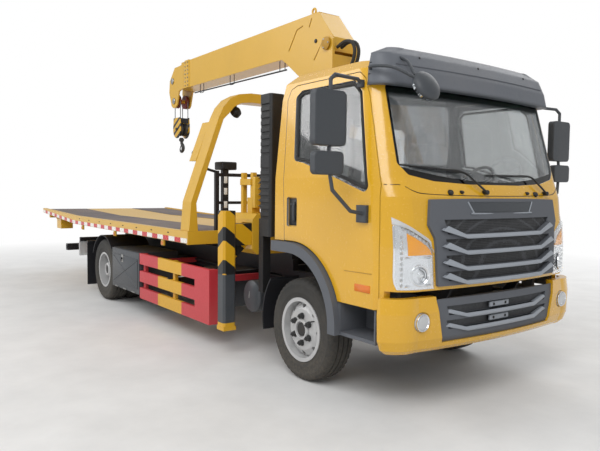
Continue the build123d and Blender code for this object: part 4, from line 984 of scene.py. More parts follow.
class TRUCK_OT_cab(Operator):
    """Make the wipers, seams, handles, mirrors and lamps of the cab"""
    bl_idname = "truck.cab"
    bl_label = "Cab"

    # pivot, inner end of the blade, outer end of the blade, each as (y, z)
    WIPERS = [((-0.17, 1.557), (-0.37, 1.700), (-0.90, 1.737)),
              ((0.64, 1.553), (0.45, 1.685), (-0.09, 1.684))]
    # distance from the truck's middle, height, radius
    NOZZLES = [(-0.52, 1.552, 0.020), (-0.41, 1.556, 0.012), (0.37, 1.552, 0.012), (0.49, 1.544, 0.020)]
    SCREEN = ["cab_glass", "cab_shell"]
    # front flap's upper seam, as (distance from the truck's middle, height)
    FLAP = [(-0.90, 1.590), (-0.84, 1.560), (-0.74, 1.542), (-0.40, 1.532), (0.0, 1.530), (0.40, 1.532),
            (0.74, 1.542), (0.84, 1.560), (0.90, 1.590)]
    # the door window's seal, as (station, height)
    SEAL = [(0.018, 1.808), (-0.026, 2.286), (0.030, 2.322), (0.648, 2.317), (0.727, 2.239), (0.866, 1.573),
            (0.526, 1.679), (0.128, 1.792)]
    # station of the glass, nearest and furthest distance from the truck's middle, bottom, top
    MIRRORS = [(0.7895, 1.240, 1.470, 1.868, 2.195), (0.7995, 1.265, 1.472, 1.676, 1.800)]
    MIRROR_BOWL = [(0.0, 0.105), (0.02, 0.103), (0.034, 0.06), (0.04, 0.0)]

    def wipers(self):
        shape = Shape()
        for pivot, inner, outer in self.WIPERS:
            base = on_front(self.SCREEN, *pivot)
            near = on_front(self.SCREEN, *inner, 0.022)
            far = on_front(self.SCREEN, *outer, 0.014)
            shape.bar(base - FORWARD * 0.005, base + FORWARD * 0.035, 0.017, 0, 20)
            shape.ball(base + FORWARD * 0.035, 0.018, 0, (0.6, 1, 1))
            middle = near.lerp(far, 0.45)
            shape.tube([base + FORWARD * 0.03, base.lerp(near, 0.5) + FORWARD * 0.03, near + FORWARD * 0.012,
                        middle + FORWARD * 0.012], 0.008, 0, 10)
            blade = []
            for step in range(9):
                point = near.lerp(far, step / 8)
                blade.append(on_front(self.SCREEN, point.y, point.z, 0.006))
            shape.tube(blade, 0.006, 1, 8, 3)
            lifted = [p + FORWARD * 0.008 for p in blade[1:-1]]
            shape.tube(lifted, lambda share: 0.004 + 0.006 * math.sin(math.pi * share), 0, 8, 3)
        for y, z, size in self.NOZZLES:
            seat = on_front(self.SCREEN, y, z)
            profile = [(-0.004, size * 1.1), (0.014, size), (0.024, size * 0.6), (0.026, 0.0)]
            shape.lathe(seat, FORWARD, profile, 0, 18)
        add_piece("wipers", "cab", shape, ["black_plastic", "rubber"])

    def seams(self):
        shape = Shape()
        # Near-black lines along the panel gaps, painted shade.
        shape.tube([on_front(["cab_shell"], y, z) for y, z in self.FLAP], 0.003, 0, 6)
        for hand, side in SIDES:
            shape.tube([on_side(["cab_shell"], station, 1.602, side) for station in (0.996, 1.003, 1.012)],
                       0.0025, 0, 6)
            shape.tube([on_front(["cab_shell"], side * y, 1.602) for y in (0.985, 0.955, 0.93)], 0.0025, 0, 6)
        add_piece("cab_seam_shade", "cab", shape, ["painted_gap_shade"])

    def visor(self):
        shape = Shape()
        ridge = [on_front(["visor"], y, 2.43) for y in (-0.86, -0.6, -0.3, 0, 0.3, 0.6, 0.86)]
        shape.tube(ridge, 0.006, 0, 8)
        for y in (-0.62, 0.0, 0.62):
            seat = on_front(["visor"], y, 2.500)
            shape.ball(seat, 0.010, 1, (0.6, 1, 1))
        for hand, side in SIDES:
            for z in (2.36, 2.40, 2.44):
                line = [on_side(["visor"], station, z, side) for station in (0.806, 0.815, 0.824)]
                shape.tube(line, 0.004, 1, 6)
        add_piece("visor_trim", "cab", shape, ["grey_plastic", "black_plastic"])

    def look_down_mirror(self):
        shape = Shape()
        head = place(1.13, -0.765, 2.265)
        shape.tube([place(0.815, -0.99, 2.395), place(0.87, -1.03, 2.40), place(1.0, -0.96, 2.385),
                    place(1.10, -0.85, 2.315), head + Vector((-0.01, 0, 0.03))], 0.011, 0)
        shape.tube([on_front(["visor"], -0.80, 2.485, -0.004), place(0.985, -0.80, 2.44),
                    place(1.08, -0.83, 2.335)], 0.010, 0)
        tilt = Matrix.Rotation(math.radians(62), 3, "Y")
        shape.ball(head, 0.112, 0, (1, 1, 0.42), tilt)
        facing = tilt @ UPWARD
        shape.lathe(head - facing * 0.012, -facing, self.MIRROR_BOWL, 1, 32)
        add_piece("look_down_mirror", "cab", shape, ["mirror_plastic", "mirror_glass"])

    def door(self, hand, side):
        node = f"door_{hand}"
        shape = Shape()
        out = LEFTWARD * side
        back = place(-0.009, side * 1.0415, 1.3825)
        shape.block(back, (0.061, 0.001, 0.109), 0, 0.001)
        grip = [back + Vector((x, 0, z)) + out * lift for x, z, lift in
                ((0.02, -0.075, 0.004), (0.025, -0.05, 0.017), (0.025, 0.05, 0.017), (0.02, 0.075, 0.004))]
        shape.tube(grip, 0.011, 1, 10)
        lock = back + Vector((-0.03, 0, 0.06))
        shape.bar(lock, lock + out * 0.006, 0.011, 1, 18)
        marker = on_side([node], 0.845, 0.882, side)
        shape.block(marker, (0.08, 0.006, 0.026), 2, 0.008)
        # The door's crease is a darker yellow line, painted shade.
        crease = [on_side([node], station, 0.985 + 0.02 * (station - 0.6), side) for station in
                  (0.65, 0.75, 0.85, 0.94)]
        shape.tube(crease, 0.003, 3, 6)
        points = []
        for (x0, z0), (x1, z1) in zip(self.SEAL, self.SEAL[1:] + self.SEAL[:1]):
            for share in (0.05, 0.25, 0.5, 0.75, 0.95):
                station, z = x0 + (x1 - x0) * share, z0 + (z1 - z0) * share
                points.append(on_side([f"door_glass_{hand}"], station, z, side))
        points.append(points[0])
        shape.tube(points, 0.012, 4, 8, 2)
        add_piece(f"door_fittings_{hand}", f"door_{hand}", shape,
                  ["black_plastic", "mirror_plastic", "amber_lens", "shaded_yellow", "rubber"])
        glass = Shape()
        for rear, inner, outer, bottom, top in self.MIRRORS:
            glass.box(place(rear - 0.004, side * inner, bottom), place(rear, side * outer, top), 0, 0.003)
        add_piece(f"mirror_glass_{hand}", f"door_{hand}", glass, ["mirror_glass"])

    def execute(self, context):
        self.wipers()
        self.seams()
        self.visor()
        self.look_down_mirror()
        for hand, side in SIDES:
            self.door(hand, side)
        return {"FINISHED"}


def cushion(name, middle, size, turn, channels):
    """A crowned pad whose sides pull in between its corners, with sewn channels along it."""
    part = bmesh.new()
    bmesh.ops.create_cube(part, size=2)
    bmesh.ops.subdivide_edges(part, edges=part.edges[:], cuts=14, use_grid_fill=True)
    half = Vector(size) / 2
    for vert in part.verts:
        x, y, z = vert.co
        radius = (abs(x) ** 6 + abs(y) ** 6 + abs(z) ** 6) ** (1 / 6)
        x, y, z = x / radius, y / radius, z / radius
        crown = 0.86 + 0.14 * (1 - x * x) * (1 - y * y)
        pinch = 1 - 0.05 * (1 - abs(z)) * (x * x + y * y) / 2
        groove = sum(math.exp(-((y - line) / 0.035) ** 2) for line in channels)
        level = z * half.z * crown - max(0.0, z) * groove * 0.10 * half.z
        vert.co = Vector((x * half.x * pinch, y * half.y * pinch, level))
    bmesh.ops.transform(part, matrix=Matrix.Translation(middle) @ turn.to_4x4(), verts=part.verts)
    shape = Shape()
    shape.take(part, 0)
    piece = add_piece(name, "cab", shape, ["seat_cloth"], 80)
    return piece


class TRUCK_OT_interior(Operator):
    """Make the seats, dashboard and steering wheel"""
    bl_idname = "truck.interior"
    bl_label = "Interior"

    SEAT_Y = 0.54
    FLOOR_Z = 1.0205
    # the dashboard's section, as (station, height), and half its width
    DASH = [(0.61, 1.26), (0.955, 1.26), (0.955, 1.47), (0.90, 1.565), (0.80, 1.575), (0.66, 1.535)]
    DASH_HALF = 0.90
    WHEEL_RADIUS = 0.21

    def execute(self, context):
        level = Matrix.Identity(3)
        lean = Matrix.Rotation(math.radians(-80), 3, "Y")
        for hand, side in SIDES:
            y = side * self.SEAT_Y
            cushion(f"seat_pad_{hand}", place(0.215, y, 1.37), (0.52, 0.49, 0.15), level, (-0.45, 0.45))
            cushion(f"seat_back_{hand}", place(-0.055, y, 1.715), (0.60, 0.46, 0.13), lean, (-0.45, 0.45))
            cushion(f"head_rest_{hand}", place(-0.095, y, 2.09), (0.20, 0.26, 0.085), lean, ())
        shape = Shape()
        for hand, side in SIDES:
            y = side * self.SEAT_Y
            shape.box(place(-0.05, y - 0.20, self.FLOOR_Z), place(0.42, y + 0.20, 1.30), 0, 0.03)
            for rail in (-0.06, 0.06):
                shape.bar(place(-0.085, y + rail, 1.97), place(-0.09, y + rail, 2.06), 0.008, 1, 12)
        outline = [place(station, -self.DASH_HALF, z) for station, z in self.DASH]
        shape.plate(outline, LEFTWARD * 2 * self.DASH_HALF, 0, 0.02)
        shape.box(place(0.86, -0.30, self.FLOOR_Z), place(0.955, 0.30, 1.30), 0, 0.02)
        shape.box(place(0.655, 0.36, 1.53), place(0.80, 0.72, 1.60), 0, 0.03)
        column = Vector((-0.18, 0, 0.15)).normalized()
        hub = place(0.52, self.SEAT_Y, 1.60)
        shape.bar(place(0.70, self.SEAT_Y, 1.45), hub, 0.03, 0)
        turn = column.to_track_quat("Z", "Y").to_matrix()
        rim = [hub + column * 0.02 + turn @ (Vector((math.cos(a), math.sin(a), 0)) * self.WHEEL_RADIUS)
               for a in (2 * math.pi * step / 32 for step in range(33))]
        shape.tube(rim, 0.015, 2, 10, 1)
        for angle in (0.5, 2.64, 4.71):
            spoke = turn @ Vector((0.205 * math.cos(angle), 0.205 * math.sin(angle), 0))
            shape.tube([hub + column * 0.012, hub + column * 0.018 + spoke], 0.013, 2, 8, 2)
        shape.lathe(hub, column, [(0.0, 0.06), (0.02, 0.058), (0.028, 0.04), (0.03, 0.0)], 2, 24)
        add_piece("dashboard", "cab", shape, ["dash_plastic", "steel", "black_plastic"], 35,
                  ["cab_interior"])
        return {"FINISHED"}


class TRUCK_OT_bed(Operator):
    """Make the anti-slip strips, the rail tape and the lamps of the bed"""
    bl_idname = "truck.bed"
    bl_label = "Bed"

    FRONT, KINK, TAIL, RAIL_END = -1.715, -5.65, -7.52, -7.55
    RAIL_FACE = 1.175
    # stations of the rows of the anti-slip strips, and their columns' distances from the truck's middle
    LEVEL = (-1.913, -2.7, -3.7, -4.7, KINK + 0.007)
    SLOPING = (KINK - 0.005, -6.3, -6.9, TAIL)
    COLUMNS = (0.432, 0.76, 1.088)
    LAMP_RING = [(0.0, 0.030), (0.006, 0.030), (0.008, 0.026)]
    LAMP_LENS = [(0.002, 0.026), (0.010, 0.022), (0.013, 0.0)]

    def rail_edges(self, station):
        """The rail's lower and upper edges, which rise behind the kink."""
        share = max(0.0, (self.KINK - station) / (self.KINK - self.RAIL_END))
        return 1.0 + 0.105 * share, 1.127 + 0.055 * share

    def strips(self):
        shape = Shape()
        for hand, side in SIDES:
            for stations in (self.LEVEL, self.SLOPING):
                rows = [[on_top(["bed"], x, side * y, 0.0002) for y in self.COLUMNS] for x in stations]
                shape.patch(rows, UPWARD * 0.003, 0)
        add_piece("deck_strips", "bed", shape, ["deck_grit"])

    def tape(self):
        shape = Shape()
        length, height = sizes().tape_length, sizes().tape_height
        count = int((self.FRONT - self.TAIL + 0.12) / length)
        for hand, side in SIDES:
            for index in range(count):
                start = self.FRONT + 0.03 - index * length
                end = start - length
                rail_low, rail_high = self.rail_edges(end)
                tall = min(height, (rail_high - rail_low) * 0.7)
                low, after = self.rail_edges(start)[0] + 0.003, rail_low + 0.003
                corners = ((start, low), (end, after), (end, after + tall), (start, low + tall))
                outline = [place(station, side * self.RAIL_FACE, z) for station, z in corners]
                shape.plate(outline, LEFTWARD * side * 0.0015, index % 2)
            # Near-black blocks for the rail's slots, painted shade.
            for index in range(8):
                slot = place(-2.15 - 0.46 * index, side * self.RAIL_FACE, 1.088)
                shape.block(slot, (0.022, 0.001, 0.006), 2, 0.001)
            for station in (-2.35, -3.9, -5.3):
                bracket = place(station, side * (self.RAIL_FACE - 0.03), 0.975)
                shape.box(bracket - Vector((0.035, 0.012, 0.045)), bracket + Vector((0.035, 0.012, 0.028)),
                          3, 0.006)
                shape.box(bracket + Vector((-0.025, side * 0.012, -0.035)),
                          bracket + Vector((0.025, side * 0.018, 0.0)), 4, 0.003)
        add_piece("rail_tape", "bed", shape,
                  ["tape_white", "tape_red", "painted_gap_shade", "crane_yellow", "amber_lens"])

    def lamps(self):
        shape = Shape()
        for hand, side in SIDES:
            for index, finish in enumerate((0, 1, 0)):
                y = side * (0.965 + 0.06 * index)
                seat = place(-6.852, y, 0.99)
                shape.lathe(seat, -FORWARD, self.LAMP_RING, 2, 24)
                shape.lathe(seat, -FORWARD, self.LAMP_LENS, finish, 24)
            tail = place(-7.551, side * 1.08, 1.142)
            shape.box(tail - Vector((0.006, 0.05, 0.014)), tail + Vector((0.0, 0.05, 0.014)), 0, 0.003)
        add_piece("bed_lamps", "bed", shape, ["red_lens", "amber_lens", "black_plastic"])

    def execute(self, context):
        self.strips()
        self.tape()
        self.lamps()
        return {"FINISHED"}


class TRUCK_OT_gantry(Operator):
    """Make the lamps and struts of the gantry and the headboard"""
    bl_idname = "truck.gantry"
    bl_label = "Gantry"

    # profiles of (distance outward, radius)
    LAMP_RING = [(-0.004, 0.040), (0.012, 0.039), (0.016, 0.033), (0.012, 0.032)]
    LAMP_LENS = [(0.0, 0.032), (0.014, 0.028), (0.020, 0.012), (0.021, 0.0)]
    FLOODLAMP = [(-0.045, 0.0), (-0.042, 0.03), (-0.02, 0.058), (0.025, 0.064), (0.03, 0.06), (0.022, 0.055),
                 (0.020, 0.0)]
    FLOODLAMP_LENS = [(0.021, 0.054), (0.027, 0.03), (0.029, 0.0)]

    def execute(self, context):
        shape = Shape()
        for hand, side in SIDES:
            for share in (0.15, 0.5, 0.85):
                y, z = side * (0.79 + 0.15 * share), 2.235 - 0.355 * share
                seat = place(-2.02, y, z)
                shape.lathe(seat, -FORWARD, self.LAMP_RING, 0, 24)
                shape.lathe(seat, -FORWARD, self.LAMP_LENS, 1, 24)
        lamp = place(-1.77, -0.566, 2.385)
        shape.tube([lamp + UPWARD * rise for rise in (0.085, 0.06, 0.03)], 0.010, 0)
        facing = Vector((-0.75, -0.2, -0.45)).normalized()
        shape.lathe(lamp, facing, self.FLOODLAMP, 0, 28)
        shape.lathe(lamp, facing, self.FLOODLAMP_LENS, 2, 24)
        for hand, side in SIDES:
            shape.box(place(-1.85, side * 0.60, 1.761), place(-1.68, side * 0.78, 1.845), 0, 0.012)
            shape.tube([place(-1.74, side * 0.80, 1.735), place(-1.75, side * 0.90, 1.76),
                        place(-1.765, side * 0.985, 1.80)], 0.014, 0)
            for z in (1.22, 1.36, 1.50, 1.62):
                shape.box(place(-1.7015, side * 0.705, z), place(-1.699, side * 0.745, z + 0.07), 3, 0.002)
        add_piece("gantry_lamps", "bed", shape,
                  ["black_plastic", "red_lens", "white_lens", "tape_white"])
        return {"FINISHED"}


class TRUCK_OT_crane(Operator):
    """Make the bolts, hoses, sheaves, hook and levers of the crane"""
    bl_idname = "truck.crane"
    bl_label = "Crane"

    # stations and heights of the sheaves at the boom's head, and the lower one's rims
    SHEAVE, GUARDED_SHEAVE = (-4.347, 2.819), (-4.40, 3.11)
    SHEAVE_RIM = [(-0.016, 0.03), (-0.016, 0.096), (-0.012, 0.098), (-0.004, 0.084), (0.004, 0.084),
                  (0.012, 0.098), (0.016, 0.096), (0.016, 0.03)]
    BLOCK_SHEAVE = [(-0.02, 0.02), (-0.02, 0.096), (0.0, 0.085), (0.02, 0.096), (0.02, 0.02)]
    SHEAVE_PIN = [(0.0, 0.045), (0.012, 0.043), (0.016, 0.03), (0.016, 0.0)]
    BOOM_PIN = [(0.0, 0.020), (0.008, 0.019), (0.010, 0.014), (0.010, 0.0)]
    TURRET_PIN = [(0.0, 0.062), (0.010, 0.061), (0.012, 0.05), (0.020, 0.03), (0.020, 0.0)]
    # distance ahead of the rope's middle, height
    HOOK = [(0.0, 2.25), (0.012, 2.215), (0.045, 2.18), (0.055, 2.14), (0.03, 2.105), (-0.012, 2.098),
            (-0.042, 2.118), (-0.052, 2.148)]
    HOOK_LATCH = [(0.01, 2.215), (-0.02, 2.185), (-0.047, 2.15)]
    # station, height
    BOOM_HOSE = [(-0.63, 2.93), (-0.52, 2.962), (-0.42, 2.94), (-0.375, 2.86), (-0.40, 2.76), (-0.48, 2.67),
                 (-0.56, 2.58), (-0.66, 2.46)]
    # middle of the block's sheaves, half width, and how far the cheeks reach up and down from the middle
    BLOCK_MIDDLE, BLOCK_HALF, BLOCK_UP, BLOCK_DOWN = 2.42, 0.125, 0.165, 0.13

    def boom(self):
        shape = Shape()
        for side in (-1, 1):
            for station in (-3.925, -3.85):
                for row in range(7):
                    seat = place(station, side * 0.138, 2.985 + 0.052 * row)
                    shape.bar(seat, seat + LEFTWARD * side * 0.008, 0.010, 1, 6)
            # The weld lines on the boom's sides are in a darker yellow, painted shade.
            for start, end in (((-1.273, 3.215), (-1.415, 3.025)), ((-0.83, 3.021), (-0.973, 2.86)),
                               ((-1.273, 3.215), (-1.17, 3.235)), ((-1.02, 3.28), (-1.06, 3.20))):
                points = [place(start[0], side * 0.1315, start[1]), place(end[0], side * 0.1315, end[1])]
                shape.tube(points, 0.005, 0, 6, 2)
            pin = place(-0.944, side * 0.130, 3.042)
            shape.lathe(pin, LEFTWARD * side, self.BOOM_PIN, 2, 24)
        rod_y, rod_z = -0.10, 2.865
        shape.tube([place(-3.70, rod_y, rod_z), place(-1.50, rod_y, rod_z - 0.02)], 0.009, 2, 8, 2)
        for station in (-3.49, -2.68, -1.58):
            for lean in (-0.05, 0.05):
                shape.tube([place(station + lean, rod_y, 2.957), place(station + lean, rod_y, 2.845),
                            place(station, rod_y, 2.842)], 0.005, 2, 6, 2, False)
        add_piece("boom_fittings", "boom_base", shape,
                  ["shaded_yellow", "steel", "black_steel"])

    def head(self):
        shape = Shape()
        for y in (-0.058, 0.058):
            centre = place(self.SHEAVE[0], y, self.SHEAVE[1])
            shape.lathe(centre, LEFTWARD, self.SHEAVE_RIM, 0, 48, True)
        upper = place(self.GUARDED_SHEAVE[0], 0, self.GUARDED_SHEAVE[1])
        arc = []
        for step in range(13):
            angle = math.radians(70 + 170 * step / 12)
            arc.append(upper + Vector((0.128 * math.cos(angle), 0, 0.128 * math.sin(angle))))
        rows = [[p + LEFTWARD * y for p in arc] for y in (-0.05, 0.05)]
        shape.patch(rows, Vector((-0.004, 0, 0.003)), 1)
        for side in (-1, 1):
            for station, z in (self.SHEAVE, self.GUARDED_SHEAVE):
                seat = place(station, side * 0.113, z)
                shape.lathe(seat, LEFTWARD * side, self.SHEAVE_PIN, 2, 24)
        add_piece("boom_head_sheaves", "boom_fourth", shape,
                  ["sheave_red", "black_steel", "steel"])

    def hook_radius(self, share):
        """Thick in the bowl of the hook and thin at its tip."""
        return 0.019 + 0.007 * math.sin(math.pi * min(1, share * 1.3)) - 0.013 * share ** 3

    def hook(self):
        shape = Shape()
        station, z = self.SHEAVE[0], self.BLOCK_MIDDLE
        for x in (-0.0903, 0.0903):
            for y in (-0.058, 0.058):
                shape.bar(place(station + x, y, z), place(station + x, y, self.SHEAVE[1]), 0.006, 0, 10)
        for y in (-0.076, 0.062):
            outline = [place(station + self.BLOCK_HALF * 0.86, y, z + self.BLOCK_UP)]
            outline.append(place(station - self.BLOCK_HALF * 0.86, y, z + self.BLOCK_UP))
            for angle in range(180, 361, 15):
                a = math.radians(angle)
                across, down = self.BLOCK_HALF * math.cos(a), self.BLOCK_DOWN * math.sin(a)
                outline.append(place(station + across, y, z + down))
            shape.plate(outline, LEFTWARD * 0.014, 1, 0.003)
        centre = place(station, 0, z)
        for y in (-0.035, 0.035):
            shape.lathe(centre + LEFTWARD * y, LEFTWARD, self.BLOCK_SHEAVE, 2, 40, True)
        shape.bar(centre - LEFTWARD * 0.088, centre + LEFTWARD * 0.088, 0.022, 2, 20)
        for side in (-1, 1):
            shape.box(place(station + side * 0.098, -0.062, z + 0.085),
                      place(station + side * 0.110, 0.062, z + 0.155), 3, 0.004)
        shape.bar(place(station, 0, 2.30), place(station, 0, 2.245), 0.024, 2, 24)
        shape.lathe(place(station, 0, 2.27), UPWARD, [(-0.02, 0.034), (0.0, 0.036), (0.02, 0.034)], 2, 28)
        shape.tube([place(station + x, 0, level) for x, level in self.HOOK], self.hook_radius, 2, 14)
        shape.tube([place(station + x, 0, level) for x, level in self.HOOK_LATCH], 0.006, 3, 8)
        add_piece("hook", "hook_block", shape,
                  ["rope", "hook_stripes", "cast_iron", "black_steel"], 35, ["hook_block"])

    def turret(self):
        shape = Shape()
        hose = sizes().hose_radius
        for y in (-0.11, -0.06):
            shape.tube([place(station, y, z) for station, z in self.BOOM_HOSE], hose, 0)
        for side in (-1, 1):
            pin = place(-0.721, side * 0.177, 2.973)
            shape.lathe(pin, LEFTWARD * side, self.TURRET_PIN, 3, 28)
            for angle in (0, 2.09, 4.19):
                bolt = pin + Vector((math.cos(angle), 0, math.sin(angle))) * 0.046
                shape.bar(bolt, bolt + LEFTWARD * side * 0.020, 0.008, 1, 6)
            foot = place(-1.26, side * 0.104, 1.64)
            shape.lathe(foot, LEFTWARD * side, [(0.0, 0.042), (0.012, 0.041), (0.014, 0.0)], 1, 24)
        slew = place(-1.085, 0, 1.422)
        for index in range(24):
            angle = 2 * math.pi * index / 24
            bolt = slew + Vector((math.cos(angle), math.sin(angle), 0)) * 0.222
            shape.bar(bolt + UPWARD * 0.016, bolt + UPWARD * 0.030, 0.011, 1, 6)
        for side in (-1, 1):
            pipe = [place(station, side * y, z) for station, y, z in
                    ((-1.00, 0.172, 1.47), (-0.90, 0.174, 1.75), (-0.72, 0.174, 2.2), (-0.70, 0.174, 2.6))]
            shape.tube(pipe, 0.010, 2, 8)
        add_piece("turret_hoses", "turret", shape,
                  ["rubber", "steel", "black_steel", "shaded_yellow"])

    def levers(self):
        shape = Shape()
        shape.box(place(-1.0597, -0.79, 1.38), place(-1.01, -0.70, 1.68), 0, 0.006)
        shape.box(place(-1.07, -0.77, 1.4803), place(-1.05, -0.73, 1.56), 0, 0.004)
        for z in (1.40, 1.455, 1.51, 1.565, 1.62, 1.67):
            start, end = place(-1.015, -0.745, z), place(-0.905, -0.788, z + 0.004)
            shape.bar(start, end, 0.006, 1, 10)
            shape.ball(end, 0.015, 2)
            coil = []
            for step in range(49):
                angle = step * math.pi / 4
                coil.append(place(-1.075 - 0.0011 * step, -0.745 + 0.017 * math.cos(angle),
                                  z + 0.017 * math.sin(angle)))
            shape.tube(coil, 0.003, 1, 6, 1, False)
            shape.bar(place(-1.06, -0.745, z), place(-1.14, -0.745, z), 0.009, 1, 10)
        hose = sizes().hose_radius
        for index in range(5):
            z = 1.42 + 0.055 * index
            shape.tube([place(-1.13, -0.745, z), place(-1.20, -0.70, z - 0.02),
                        place(-1.22, -0.55, 1.43 + 0.012 * index), place(-1.16, -0.36 - 0.02 * index, 1.36),
                        place(-1.10, -0.27, 1.345)], hose * 0.6, 2, 8)
        add_piece("crane_levers", "chassis", shape,
                  ["crane_yellow", "steel", "black_plastic"], 35, ["control_levers"])

    def execute(self, context):
        self.boom()
        self.head()
        self.hook()
        self.turret()
        self.levers()
        return {"FINISHED"}


class TRUCK_OT_chassis(Operator):
    """Make the latches, straps, pipes and lamps along the chassis"""
    bl_idname = "truck.chassis"
    bl_label = "Chassis"

    LID_FACE = 1.145
    # station, height
    LID_PANEL = [(-3.11, 0.33), (-3.97, 0.33), (-3.97, 0.70), (-3.11, 0.70)]
    LID_CREASES = [((-3.95, 0.35), (-3.13, 0.68)), ((-3.95, 0.68), (-3.13, 0.35))]
    # distance from the truck's middle, height
    TANK_STRAP = [(0.498, 0.36), (0.498, 0.70), (0.56, 0.732), (0.94, 0.732), (1.002, 0.67), (1.002, 0.39),
                  (0.94, 0.328), (0.56, 0.328)]
    # profiles of (distance outward, radius)
    TANK_CAP = [(-0.005, 0.05), (0.03, 0.05), (0.034, 0.046), (0.034, 0.0)]
    DRUM_END = [(-0.02, 0.152), (0.004, 0.151), (0.018, 0.13), (0.03, 0.08), (0.034, 0.0)]
    PIPE_END = [(0.0, 0.06), (0.36, 0.06), (0.36, 0.05), (0.30, 0.05), (0.30, 0.0)]

    def lid(self, hand, side):
        shape = Shape()
        out = LEFTWARD * side
        face = side * self.LID_FACE
        shape.plate([place(x, face, z) for x, z in self.LID_PANEL], out * 0.006, 0, 0.003)
        for crease in self.LID_CREASES:
            shape.tube([place(x, face + side * 0.006, z) for x, z in crease], 0.006, 0, 8, 4)
        latch = place(-3.62, face, 0.665)
        shape.box(latch + Vector((-0.03, -0.001, -0.05)), latch + Vector((0.03, 0.001, 0.05)) + out * 0.010,
                  2, 0.004)
        shape.bar(latch + out * 0.004, latch + out * 0.022, 0.012, 1, 16)
        shape.box(latch + Vector((-0.010, 0, -0.035)) + out * 0.019,
                  latch + Vector((0.010, 0, 0.012)) + out * 0.027, 1, 0.003)
        for station in (-3.25, -3.54, -3.83):
            hinge = place(station, face + side * 0.004, 0.283)
            shape.bar(hinge - FORWARD * 0.05, hinge + FORWARD * 0.05, 0.008, 2, 12)
        add_piece(f"tool_latches_{hand}", f"tool_lid_{hand}", shape,
                  ["dark_grey", "black_steel", "steel"])

    def tanks(self):
        shape = Shape()
        for station in (-1.72, -2.60):
            shape.tube([place(station, y, z) for y, z in self.TANK_STRAP], 0.010, 0, 8, 4)
        cap = place(-1.62, 0.86, 0.73)
        shape.lathe(cap, UPWARD, self.TANK_CAP, 0, 28)
        drum = place(-0.93, -0.86, 0.547)
        shape.lathe(drum, -LEFTWARD, self.DRUM_END, 1, 40)
        shape.lathe(drum + LEFTWARD * 0.16, -LEFTWARD, [(-0.02, 0.153), (0.02, 0.153)], 0, 40)
        shape.bar(drum - LEFTWARD * 0.03 + UPWARD * 0.05, drum - LEFTWARD * 0.037 - UPWARD * 0.01,
                  0.006, 2, 8)
        shape.tube([drum + UPWARD * 0.15 + LEFTWARD * 0.1, drum + Vector((-0.06, 0.2, 0.2)),
                    drum + Vector((-0.1, 0.40, 0.16))], 0.012, 0, 8)
        shape.box(place(-1.862, -0.912, 0.70), place(-1.388, -0.488, 0.735), 0, 0.02)
        for station in (-1.75, -1.50):
            shape.box(place(station - 0.012, -0.913, 0.40), place(station + 0.012, -0.897, 0.70), 2, 0.003)
        shape.lathe(place(-2.24, -0.78, 0.52), -LEFTWARD, self.PIPE_END, 0, 28)
        shape.bar(place(-2.24, -0.44, 0.52), place(-2.24, -0.79, 0.52), 0.05, 0, 24)
        add_piece("tank_fittings", "chassis", shape, ["black_steel", "dark_grey", "steel"])

    def running_gear(self):
        shape = Shape()
        for hand, side in SIDES:
            for index in range(3):
                z = 0.60 + 0.045 * index
                shape.tube([place(-0.95, side * 0.448, z), place(-2.6, side * 0.452, z - 0.01),
                            place(-4.1, side * 0.448, z)], 0.008 + 0.002 * index, 0, 8, 4)
            for station, low in ((0.0, 0.40), (-4.5, 0.36)):
                for lean in (-0.06, 0.06):
                    for y in (0.362, 0.448):
                        shape.bar(place(station + lean, side * y, low),
                                  place(station + lean, side * y, 0.56), 0.009, 1, 10)
                shape.box(place(station - 0.09, side * 0.352, 0.536),
                          place(station + 0.09, side * 0.458, 0.552), 0, 0.004)
            shape.tube([place(0.22, side * 0.46, 0.70), place(0.21, side * 0.47, 0.56),
                        place(0.16, side * 0.52, 0.40)], 0.028, 0, 12)
        add_piece("running_gear", "chassis", shape, ["black_steel", "steel"])

    def lamps(self):
        shape = Shape()
        for hand, side in SIDES:
            for index, finish in enumerate((0, 1, 0)):
                y0 = side * (0.79 + 0.068 * index)
                shape.box(place(-6.033, y0, 0.50), place(-6.023, y0 + side * 0.06, 0.67), finish, 0.004)
        add_piece("tail_lenses", "chassis", shape, ["red_lens", "amber_lens"])

    def execute(self, context):
        for hand, side in SIDES:
            self.lid(hand, side)
        self.tanks()
        self.running_gear()
        self.lamps()
        return {"FINISHED"}


